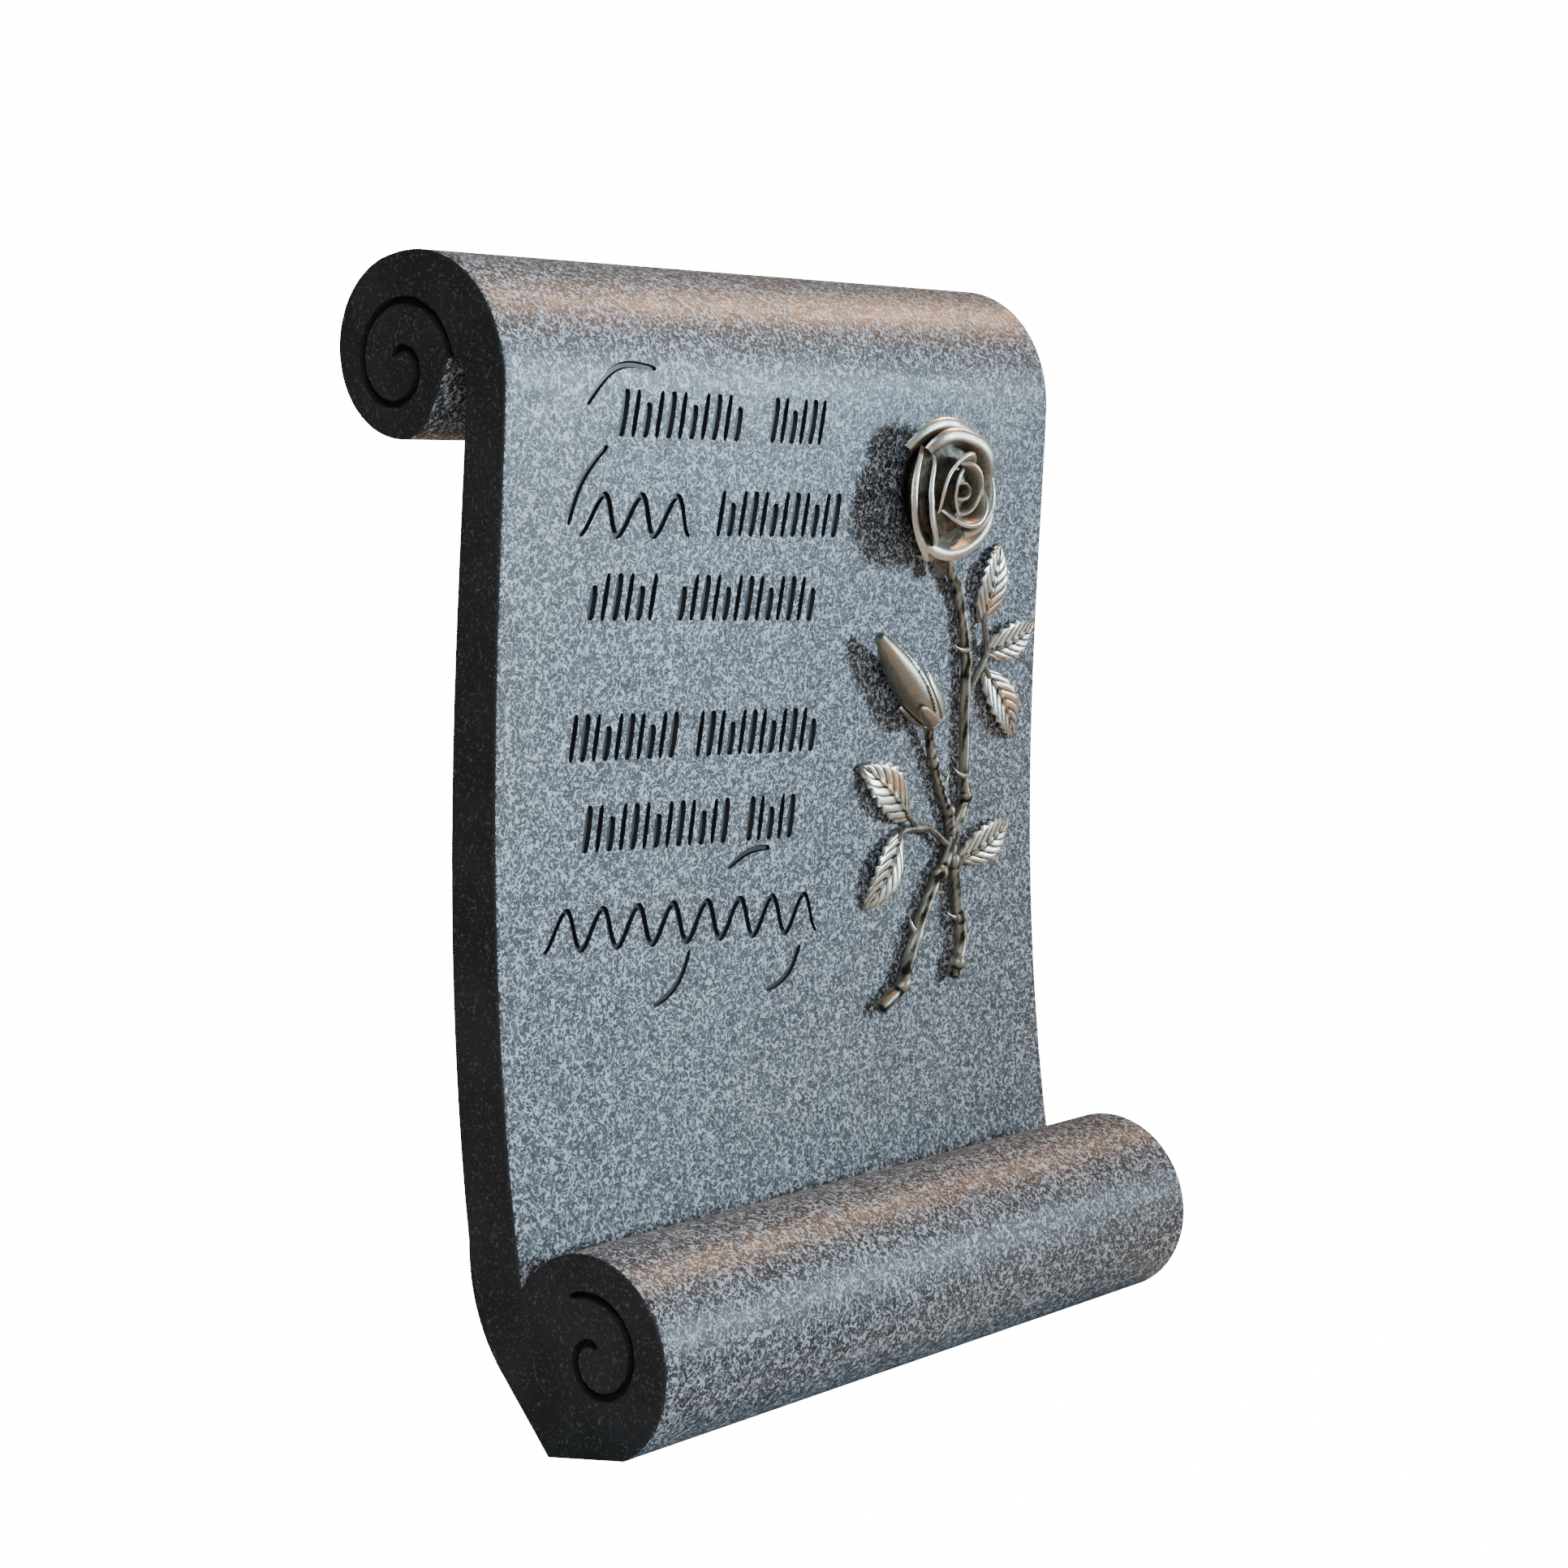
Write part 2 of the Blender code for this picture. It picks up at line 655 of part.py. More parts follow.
def build_twig(name, points, leaf):
    """Build one thin stalk that runs into the foot of its leaf."""
    foot, tip = np.array(leaf.foot), np.array(leaf.tip)
    route = smooth_route((*points, tuple(foot), tuple(foot + (tip - foot) * TWIG_REACH)), 1)
    centres = [on_spray(point, SEAT_GAP + STEM_FOOT_RADIUS) for point in route]
    return tube(name, centres, [TWIG_RADIUS] * len(centres), TWIG_SIDES)


def build_thorn(name, points, index, side):
    """Build one thorn on the flank of a stem."""
    here = np.array(points[index])
    ahead = np.array(points[index + 1]) - here
    ahead /= np.linalg.norm(ahead)
    flank = np.array((ahead[1], -ahead[0])) * side
    reach = flank + ahead * THORN_SLANT
    tip = here + reach / np.linalg.norm(reach) * (STEM_FOOT_RADIUS + THORN_LENGTH)
    lift = SEAT_GAP + STEM_FOOT_RADIUS * KNOT_SWELL
    centres = [on_spray(here, lift), on_spray(tip, lift)]
    return tube(name, centres, [STEM_TOP_RADIUS, STEM_TOP_RADIUS / 6], TWIG_SIDES)


def leaf_half_width(share, tooth):
    """Return a leaf's half width at a share of its length, as a share of its full half width."""
    outline = math.sin(math.pi * share ** LEAF_BROADEST) ** LEAF_FULLNESS
    return outline * (1.0 if tooth else LEAF_NOTCH)


def build_leaf(name, leaf):
    """Build one toothed leaf with a raised rib and two sloping halves."""
    foot, tip = np.array(leaf.foot), np.array(leaf.tip)
    along = tip - foot
    across = np.array((along[1], -along[0])) / np.linalg.norm(along)
    stations = 2 * LEAF_TEETH + 1
    front = []
    back = []
    for i in range(stations):
        share = LEAF_END + (1.0 - 2 * LEAF_END) * i / (stations - 1)
        half = leaf.width / 2 * leaf_half_width(share, i % 2 == 0)
        sweep = along * (LEAF_SWEEP if i % 2 == 0 else 0.0)
        arch = LEAF_LIFT * math.sin(math.pi * share)
        top_line = []
        back_line = []
        for across_share in (-1.0, -0.5, 0.0, 0.5, 1.0):
            point = foot + along * share + across * half * across_share
            point = point + sweep * abs(across_share) * math.sin(math.pi * share)
            fold = LEAF_FOLD * abs(across_share) * math.sin(math.pi * share)
            rib = LEAF_RIB if across_share == 0.0 else 0.0
            base = SEAT_GAP + arch + fold
            top_line.append(on_spray(point, base + LEAF_THICKNESS + rib))
            back_line.append(on_spray(point, base))
        front.append(top_line)
        back.append(back_line)
    return shell(name, front, back)


def build_petal(name, petal):
    """Build one curved petal of the bloom."""
    middle, spread = math.radians(petal.middle), math.radians(petal.spread)
    front = []
    back = []
    for i in range(PETAL_ROWS + 1):
        rise = i / PETAL_ROWS
        outer_line = []
        inner_line = []
        for j in range(PETAL_COLUMNS + 1):
            side = 2.0 * j / PETAL_COLUMNS - 1.0
            angle = middle + spread / 2 * side
            radius = petal.foot + (petal.rim - petal.foot) * rise
            radius += petal.curl * rise ** 4 + PETAL_WRAP * side * petal.rim
            lift = PETAL_FOOT_LIFT + (petal.lift - PETAL_FOOT_LIFT) * rise - PETAL_DROOP * side ** 4 * rise
            for line, inset in ((outer_line, 0.0), (inner_line, PETAL_THICKNESS)):
                reach = max(radius * BLOOM_RADIUS - inset, PETAL_THICKNESS / 4)
                point = on_circle(BLOOM_CENTRE, reach, angle)
                line.append(on_spray(point, lift * BLOOM_LIFT))
        front.append(outer_line)
        back.append(inner_line)
    return shell(name, front, back)


def build_bloom():
    """Build the open rose: a solid heart with its petals around it."""
    heart = [on_spray(BLOOM_CENTRE, lift * BLOOM_LIFT) for lift in HEART_LIFTS]
    radii = [BLOOM_RADIUS * share for share in HEART_RADII]
    pieces = [tube("bloom_heart", heart, radii, HEART_SIDES)]
    pieces += [build_petal(f"petal_{number}", petal) for number, petal in enumerate(PETALS)]
    return pieces


def build_bud():
    """Build the closed bud with its sepals."""
    foot, tip = np.array(BUD_FOOT), np.array(BUD_TIP)
    along = tip - foot
    centres = []
    radii = []
    for share in np.linspace(0.0, 1.0, BUD_RINGS):
        girth = BUD_ARC[0] + (BUD_ARC[1] - BUD_ARC[0]) * share ** BUD_BROADEST
        centres.append(on_spray(foot + along * share, SEAT_GAP + BUD_RADIUS))
        radii.append(BUD_RADIUS * math.sin(girth) ** BUD_FULLNESS)
    pieces = [tube("bud_petals", centres, radii, BUD_SIDES)]
    across = np.array((along[1], -along[0])) / np.linalg.norm(along)
    for number, side in enumerate(SEPAL_SIDES):
        start = foot + across * BUD_RADIUS * side / 2
        middle = foot + along * SEPAL_SHARES[0] + across * BUD_RADIUS * side
        end = foot + along * SEPAL_SHARES[1] + across * BUD_RADIUS * side
        lifts = [SEAT_GAP + BUD_RADIUS * (lift - abs(side) / 2) for lift in SEPAL_LIFTS]
        sepal = [on_spray(point, lift) for point, lift in zip((start, middle, end), lifts)]
        radii = [TWIG_RADIUS, TWIG_RADIUS * 2, TWIG_RADIUS / 2]
        pieces.append(tube(f"sepal_{number}", sepal, radii, TWIG_SIDES))
    return pieces


def join(item, pieces):
    """Join every piece into one solid."""
    group = bpy.data.collections.new(item.name + "_pieces")
    for piece in pieces:
        bpy.context.scene.collection.objects.unlink(piece)
        group.objects.link(piece)
    bpy.context.scene.collection.children.link(group)
    modifier = item.modifiers.new("join", "BOOLEAN")
    modifier.operation = "UNION"
    modifier.solver = "EXACT"
    modifier.operand_type = "COLLECTION"
    modifier.collection = group


def build_spray():
    """Build the rose spray as one solid on the sheet's front."""
    neck = stem_to(MAIN_STEM, BLOOM_CENTRE, BLOOM_RADIUS * NECK_REACH)
    spray = build_stem("rose_spray", neck, BLOOM_LIFT * HEART_LIFTS[1])
    spray.hide_render = False
    spray.display_type = "TEXTURED"
    pieces = [build_stem("bud_stem", BUD_STEM, BUD_RADIUS / 2)]
    pieces += [build_twig(f"twig_{i}", points, leaf) for i, (points, leaf) in enumerate(zip(TWIGS, LEAVES))]
    pieces += [build_thorn(f"thorn_{i}", *thorn) for i, thorn in enumerate(THORNS)]
    pieces += [build_leaf(f"leaf_{i}", leaf) for i, leaf in enumerate(LEAVES)]
    pieces += build_bloom()
    pieces += build_bud()
    join(spray, pieces)
    spray.data.materials.append(surface("antique_pewter", (0.42, 0.40, 0.36), 0.35, 1.0))
    return spray


def main():
    """Build the whole plaque."""
    clear_scene()
    build_scroll()
    build_spray()


main()
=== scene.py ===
"""Looks of the graveside plaque: a stone-effect open scroll with a raised pewter rose spray.

Every piece is worked out in the scroll's own plane, with the lower roll's centre as origin,
y towards the back and z up the sheet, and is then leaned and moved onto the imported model.
"""
import logging
import math
from collections.abc import Callable
from dataclasses import dataclass, field
from enum import Enum

import bmesh
import bpy
import numpy as np
from mathutils import Matrix, Vector


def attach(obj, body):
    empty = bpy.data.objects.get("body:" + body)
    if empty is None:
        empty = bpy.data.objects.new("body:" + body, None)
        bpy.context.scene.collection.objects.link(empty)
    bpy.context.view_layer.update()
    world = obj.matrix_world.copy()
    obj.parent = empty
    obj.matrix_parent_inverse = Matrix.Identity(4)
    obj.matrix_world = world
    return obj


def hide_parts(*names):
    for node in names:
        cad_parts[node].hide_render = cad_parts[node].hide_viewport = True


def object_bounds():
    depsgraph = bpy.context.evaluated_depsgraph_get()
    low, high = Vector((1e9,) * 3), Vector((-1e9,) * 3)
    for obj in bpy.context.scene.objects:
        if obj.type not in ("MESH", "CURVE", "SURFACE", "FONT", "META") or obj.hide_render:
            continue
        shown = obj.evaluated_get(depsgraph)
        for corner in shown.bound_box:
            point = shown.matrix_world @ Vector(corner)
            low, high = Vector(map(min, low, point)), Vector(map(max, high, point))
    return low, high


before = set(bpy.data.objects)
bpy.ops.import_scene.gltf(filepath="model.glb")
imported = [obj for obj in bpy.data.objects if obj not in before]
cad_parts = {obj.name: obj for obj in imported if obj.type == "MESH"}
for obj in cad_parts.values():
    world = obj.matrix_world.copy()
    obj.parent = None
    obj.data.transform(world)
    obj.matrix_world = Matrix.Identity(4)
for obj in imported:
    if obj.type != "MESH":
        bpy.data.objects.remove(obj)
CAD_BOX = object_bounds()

LOG = logging.getLogger("plaque")
CUTTER_SHARP = math.radians(30.0)
STONE_SHARP = math.radians(38.0)
METAL_SHARP = math.radians(50.0)
END_DIMMING = 0.4


class Surface(Enum):
    """Material places of the scroll, in the order of its slots."""

    FACE = 0
    SIDE = 1
    STROKE = 2
    GROOVE = 3


@dataclass
class Form:
    """A surface as arrays: its points, its four-sided and three-sided faces and a shade for each point."""

    points: np.ndarray
    quads: np.ndarray
    shade: np.ndarray
    triangles: np.ndarray = field(default_factory=lambda: np.zeros((0, 3), int))


def merged(forms: list[Form]) -> Form:
    """Put several forms into one, shifting each one's face numbers past the points before it.

    Args:
        forms: The forms to put together.

    Returns:
        One form with all their points and faces.
    """
    firsts = np.cumsum([0] + [len(form.points) for form in forms[:-1]])
    return Form(np.concatenate([form.points for form in forms]),
                np.concatenate([form.quads + first for form, first in zip(forms, firsts)]),
                np.concatenate([form.shade for form in forms]),
                np.concatenate([form.triangles + first for form, first in zip(forms, firsts)]))


def placed(name: str, data: bpy.types.ID) -> bpy.types.Object:
    """Put mesh, light or camera data into the scene as an object at the origin."""
    item = bpy.data.objects.new(name, data)
    bpy.context.scene.collection.objects.link(item)
    return item


def new_mesh(name: str, points: np.ndarray, faces: list) -> bpy.types.Mesh:
    """Make a mesh from points and faces and turn its faces outwards."""
    mesh = bpy.data.meshes.new(name)
    mesh.from_pydata(points.reshape(-1, 3).tolist(), [], faces)
    shape = bmesh.new()
    shape.from_mesh(mesh)
    bmesh.ops.recalc_face_normals(shape, faces=shape.faces)
    shape.to_mesh(mesh)
    shape.free()
    return mesh


def add_piece(name: str, form: Form, sharp: float) -> bpy.types.Object:
    """Make a mesh object from a form, with outward faces and its shade as a point attribute.

    Args:
        name: The object's name.
        form: The surface.
        sharp: Angle in radians past which an edge is shaded sharp.

    Returns:
        The new object at the origin.
    """
    mesh = new_mesh(name, form.points, form.quads.tolist() + form.triangles.tolist())
    shade = mesh.attributes.new("shade", "FLOAT", "POINT")
    shade.data.foreach_set("value", form.shade.astype(np.float32))
    mesh.shade_smooth()
    mesh.set_sharp_from_angle(angle=sharp)
    return placed(name, mesh)


def add_cutter(name: str, channels: list[Form], surface: Surface) -> bpy.types.Object:
    """Make a cutter from its channels, all in the material place that the cut faces get."""
    cutter = add_piece(name, merged(channels), CUTTER_SHARP)
    places = np.full(len(cutter.data.polygons), surface.value, np.int32)
    cutter.data.polygons.foreach_set("material_index", places)
    return cutter


def crosswise(along: np.ndarray) -> np.ndarray:
    """Return the unit vector square to a flat direction: (z, -x) / length."""
    across = np.stack((along[..., 1], -along[..., 0]), axis=-1)
    return across / np.linalg.norm(across, axis=-1, keepdims=True)


def grid_quads(rows: int, columns: int, wrap: bool = False) -> np.ndarray:
    """Return the faces of a grid: (i, j), (i, j+1), (i+1, j+1), (i+1, j), with columns closed if wrapped.

    Args:
        rows: Number of rows of points.
        columns: Number of points in a row.
        wrap: Whether the last column joins the first.

    Returns:
        Faces as an array of four point numbers each.
    """
    i, j = np.meshgrid(np.arange(rows - 1), np.arange(columns if wrap else columns - 1), indexing="ij")
    ahead = (j + 1) % columns
    quads = np.stack((i * columns + j, i * columns + ahead,
                      (i + 1) * columns + ahead, (i + 1) * columns + j), axis=-1)
    return quads.reshape(-1, 4)


def sheet_form(front: np.ndarray, back: np.ndarray, shade: np.ndarray) -> Form:
    """Close the space between two grids of the same size: both grids and a band round their rims.

    Args:
        front: Points of the seen side, rows by columns by three.
        back: Points of the other side.
        shade: Shade that spreads to the grid, shared by both sides.

    Returns:
        The closed form.
    """
    rows, columns = front.shape[:2]
    size = rows * columns
    quads = grid_quads(rows, columns)
    number = np.arange(size).reshape(rows, columns)
    rim = np.concatenate((number[0, :], number[1:, -1], number[-1, -2::-1], number[-2:0:-1, 0]))
    after = np.roll(rim, -1)
    band = np.stack((rim, rim + size, after + size, after), axis=-1)
    shade = np.broadcast_to(shade, (rows, columns)).ravel()
    return Form(np.concatenate((front.reshape(-1, 3), back.reshape(-1, 3))),
                np.concatenate((quads, quads[:, ::-1] + size, band)),
                np.concatenate((shade, shade)))


def channel_form(corners: list[np.ndarray]) -> Form:
    """Close a channel with a four-cornered section, given as the course of each corner."""
    points = np.stack(corners, axis=1)
    last = 4 * (len(points) - 1)
    ends = np.array(((0, 1, 2, 3), (last, last + 3, last + 2, last + 1)))
    return Form(points.reshape(-1, 3),
                np.concatenate((grid_quads(len(points), 4, wrap=True), ends)), np.zeros(last + 4))


def tube_form(path: np.ndarray, radii: np.ndarray, shade: np.ndarray, sides: int) -> Form:
    """Carry a round section along a path and close its ends with a middle point each.

    A ring point is c + r (cos a * across + sin a * out), where across is ahead x y and out is
    across x ahead.

    Args:
        path: Centres of the sections, n by three.
        radii: Radius, spread to n by the number of sides.
        shade: Shade, spread in the same way.
        sides: Number of points round the section.

    Returns:
        The closed form.
    """
    count = len(path)
    radii, shade = (np.broadcast_to(values, (count, sides)) for values in (radii, shade))
    ahead = np.gradient(path, axis=0)
    ahead /= np.linalg.norm(ahead, axis=1)[:, None]
    across = np.cross(ahead, (0.0, 1.0, 0.0))
    across /= np.linalg.norm(across, axis=1)[:, None]
    out = np.cross(across, ahead)
    angle = math.tau * np.arange(sides)[None, :, None] / sides
    ring = np.cos(angle) * across[:, None, :] + np.sin(angle) * out[:, None, :]
    points = path[:, None, :] + radii[:, :, None] * ring
    number = np.arange(sides)
    first, last = count * sides, count * sides + 1
    start = np.stack((np.full(sides, first), number, np.roll(number, -1)), axis=-1)
    end_row = (count - 1) * sides + number
    end = np.stack((np.full(sides, last), end_row, np.roll(end_row, -1)), axis=-1)
    end_shades = np.array((shade[0, 0], shade[-1, 0])) * END_DIMMING
    return Form(np.concatenate((points.reshape(-1, 3), path[:1], path[-1:])),
                grid_quads(count, sides, wrap=True),
                np.concatenate((shade.ravel(), end_shades)), np.concatenate((start, end)))


def round_shine(sides: int) -> np.ndarray:
    """Return a value for each side of a tube that is 1 on its top and -1 underneath."""
    return np.sin(math.tau * np.arange(sides) / sides)[None]


def smooth_path(knots: np.ndarray, steps: int) -> np.ndarray:
    """Run a smooth curve through knots: p(t) = (2b + (c-a)t + (2a-5b+4c-d)t^2 + (3b-a-3c+d)t^3) / 2.

    Args:
        knots: Points to pass through, n by any number of values.
        steps: Points for each stretch between two knots.

    Returns:
        The curve's points.
    """
    knots = np.asarray(knots, float)
    path = np.vstack((2 * knots[0] - knots[1], knots, 2 * knots[-1] - knots[-2]))
    a, b, c, d = (path[k:len(path) - 3 + k][:, None, :] for k in range(4))
    t = (np.arange(steps) / steps)[None, :, None]
    curve = (2 * b + (c - a) * t + (2 * a - 5 * b + 4 * c - d) * t ** 2
             + (3 * b - a - 3 * c + d) * t ** 3) / 2
    return np.vstack((curve.reshape(-1, knots.shape[1]), knots[-1]))


def ripple(values: np.ndarray, seed: int, waves: int = 5) -> np.ndarray:
    """Return a smooth uneven line: the mean of sines with seeded frequencies and phases.

    Args:
        values: Where to read it, in turns of the longest wave.
        seed: Seed of the frequencies and phases.
        waves: How many sines are added.

    Returns:
        Values between about -1 and 1.
    """
    dice = np.random.default_rng(seed)
    rates = dice.uniform(0.7, 3.5, waves) * (1.0 + np.arange(waves))
    phases = dice.uniform(0.0, math.tau, waves)
    return np.mean(np.sin(math.tau * values[..., None] * rates + phases), axis=-1) * 1.6


@dataclass
class ScrollForm:
    """Sizes of the scroll in metres, and the formulas of its outline, sheet and stance."""

    width: float = 0.1904
    rise: float = 0.2081
    set_back: float = 0.0483
    upper_radius: float = 0.0195
    open_radius: float = 0.0315
    lower_radius: float = 0.0219
    top_thickness: float = 0.0115
    foot_thickness: float = 0.0145
    bow: float = 0.0055
    bow_skew: float = 1.25
    bend_rise: float = 0.0200
    cleft_width: float = 0.0045
    cleft_depth: float = 0.0175
    cleft_bend: tuple = (0.26, 0.45)
    cleft_mouth: float = 0.50
    lean: float = math.radians(8.0)
    foot_depth: float = 0.0214
    shift: tuple = (-0.0041488, 0.0208783)
    open_start: float = math.radians(80.0)
    open_end: float = math.radians(196.0)
    lower_start: float = math.radians(-47.0)
    crease: float = math.radians(32.0)
    curl_power: float = 1.6
    arc_step: float = math.radians(2.5)
    slope_step: float = 0.001

    def __post_init__(self) -> None:
        """Work out the places that the other formulas share."""
        self.upper_centre = (self.set_back, self.rise)
        self.crown = self.arc(self.upper_centre, self.open_start, self.open_end,
                              self.upper_radius, self.open_radius)
        self.top = self.crown[-1]
        self.foot = np.array((math.cos(self.crease), math.sin(self.crease))) * self.lower_radius

    def arc(self, centre: tuple, start: float, end: float, radius: float, end_radius: float) -> np.ndarray:
        """Return an arc whose radius is r + (R - r) share^power at each share of its angle.

        Args:
            centre: The arc's centre.
            start: First angle in radians.
            end: Last angle in radians.
            radius: Radius at the start.
            end_radius: Radius at the end.

        Returns:
            Points of the arc, n by two.
        """
        share = np.linspace(0.0, 1.0, max(2, math.ceil(abs(end - start) / self.arc_step)) + 1)
        angle = start + (end - start) * share
        reach = radius + (end_radius - radius) * share ** self.curl_power
        return np.column_stack((centre[0] + reach * np.cos(angle), centre[1] + reach * np.sin(angle)))

    def share(self, z: np.ndarray) -> np.ndarray:
        """Return how far down the sheet a height lies, 0 at its top and 1 at the crease."""
        return np.clip((self.top[1] - z) / (self.top[1] - self.foot[1]), 0.0, 1.0)

    def sheet_front(self, z: np.ndarray) -> np.ndarray:
        """Return the depth of the hollow front: a straight slope plus 4 bow s (1 - s), s = share^skew."""
        share = self.share(z)
        skewed = share ** self.bow_skew
        return self.top[0] + (self.foot[0] - self.top[0]) * share + self.bow * 4.0 * skewed * (1.0 - skewed)

    def sheet_back(self, z: np.ndarray) -> np.ndarray:
        """Return the depth of the sheet's back, its front plus a thickness that grows downwards."""
        return (self.sheet_front(z) + self.top_thickness
                + (self.foot_thickness - self.top_thickness) * self.share(z))

    def front(self, z: np.ndarray) -> np.ndarray:
        """Return the depth of the front at a height, on the sheet or on the bend above it."""
        bend = self.crown[::-1]
        bend = bend[bend[:, 0] < self.set_back]
        return np.where(z <= self.top[1], self.sheet_front(z), np.interp(z, bend[:, 1], bend[:, 0]))

    def place(self, x: np.ndarray, y: np.ndarray, z: np.ndarray) -> np.ndarray:
        """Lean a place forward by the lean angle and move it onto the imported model.

        Args:
            x: Places along the rolls.
            y: Depths in the scroll's plane.
            z: Heights in the scroll's plane.

        Returns:
            Points in the model's frame, with three values last.
        """
        x, y, z = np.broadcast_arrays(x, y, z)
        cosine, sine = math.cos(self.lean), math.sin(self.lean)
        return np.stack((x, y * cosine - z * sine + self.shift[0],
                         z * cosine + y * sine + self.shift[1]), axis=-1)

    def lifted(self, x: np.ndarray, z: np.ndarray, lift: np.ndarray, depth: Callable) -> np.ndarray:
        """Lift places off a front along its slope's normal: depth - l / n and z + l slope / n.

        Args:
            x: Places along the rolls.
            z: Heights in the scroll's plane.
            lift: How far each place is lifted.
            depth: Gives the front's depth at a height.

        Returns:
            Points in the model's frame.
        """
        z = np.asarray(z, float)
        slope = (depth(z + self.slope_step) - depth(z - self.slope_step)) / (2 * self.slope_step)
        length = np.hypot(1.0, slope)
        return self.place(x, depth(z) - lift / length, z + lift * slope / length)

    def cleft_apex(self) -> np.ndarray:
        """Return the end of the cleft between the sheet's back and the upper roll."""
        rise = self.rise - self.upper_radius + self.cleft_depth
        return np.array((float(self.sheet_back(np.array(rise))) + self.cleft_width, rise))

    def cleft(self) -> np.ndarray:
        """Return the cleft's edge: a shoulder, then a(1-t)^3 + 3b t(1-t)^2 + 3c t^2(1-t) + d t^3."""
        apex = self.cleft_apex()
        foot = np.array((self.set_back, self.rise - self.upper_radius))
        near = apex + ((foot - apex)[0] * self.cleft_bend[0], -self.cleft_depth * self.cleft_bend[1])
        far = np.array((apex[0] + (foot - apex)[0] * self.cleft_mouth, foot[1]))
        t = np.linspace(0.0, 1.0, 25)[:, None]
        curve = (apex * (1 - t) ** 3 + 3 * near * t * (1 - t) ** 2
                 + 3 * far * t ** 2 * (1 - t) + foot * t ** 3)
        back = float(self.sheet_back(apex[1]))
        turn = np.linspace(0.0, 1.0, 7)[:, None]
        shoulder = np.array((back, apex[1] - self.cleft_width))
        top = np.array((back + self.cleft_width * 0.3, apex[1] - self.cleft_width * 0.05))
        rounded = shoulder * (1 - turn) ** 2 + 2 * top * turn * (1 - turn) + apex * turn ** 2
        return np.vstack((rounded[1:-1], curve))

    def outline(self) -> np.ndarray:
        """Return the closed outline in the model's frame as depth and height, cut flat at the underside."""
        bend = np.array((float(self.sheet_back(np.array(self.bend_rise))), self.bend_rise))
        lower = self.arc((0.0, 0.0), self.crease, self.lower_start + math.tau,
                         self.lower_radius, self.lower_radius)
        heel = self.arc((0.0, 0.0), self.lower_start, math.atan2(bend[1], bend[0]),
                        self.lower_radius, math.hypot(*bend))
        cleft = self.cleft()
        z = np.linspace(self.bend_rise, self.cleft_apex()[1] - self.cleft_width, 90)
        back = np.column_stack((self.sheet_back(z), z))
        upper = self.arc(self.upper_centre, -math.pi / 2, self.open_start,
                         self.upper_radius, self.upper_radius)
        z = np.linspace(self.top[1], self.foot[1], 100)
        front = np.column_stack((self.sheet_front(z), z))
        flat = np.vstack((lower[:-1], heel[:-1], back, cleft, upper[1:-1], self.crown[:-1], front[:-1]))
        return self.stood(self.place(0.0, flat[:, 0], flat[:, 1])[:, 1:])

    def stood(self, outline: np.ndarray) -> np.ndarray:
        """Cut an outline flat at height 0 from toe to heel and run it straight up to the back.

        Args:
            outline: Depth and height of the leaned outline.

        Returns:
            The outline with its flat underside.
        """
        first = int(np.argmax(outline[:, 1] < 0.0))
        before, after = outline[first - 1], outline[first]
        toe = before[0] + (after[0] - before[0]) * before[1] / (before[1] - after[1])
        heel = toe + self.foot_depth
        number = np.arange(len(outline))
        behind = number[(number >= first) & (outline[:, 0] > heel) & (outline[:, 1] > 0.0)
                        & (outline[:, 1] < self.lower_radius)]
        steep = outline[behind, 1] / (outline[behind, 0] - heel)
        tangent = behind[int(np.argmin(steep))]
        flat = np.column_stack((np.linspace(toe, heel, 12), np.zeros(12)))
        rise = np.linspace(0.0, 1.0, 8)[1:-1, None]
        ramp = flat[-1] + (outline[tangent] - flat[-1]) * rise
        return np.vstack((outline[:first], flat, ramp, outline[tangent:]))


@dataclass
class EngravedRow:
    """One engraved row: baseline below the sheet's top, tilt, spans of bars and a flowing span."""

    baseline: float
    tilt: float
    spans: tuple = ()
    wave: tuple = ()


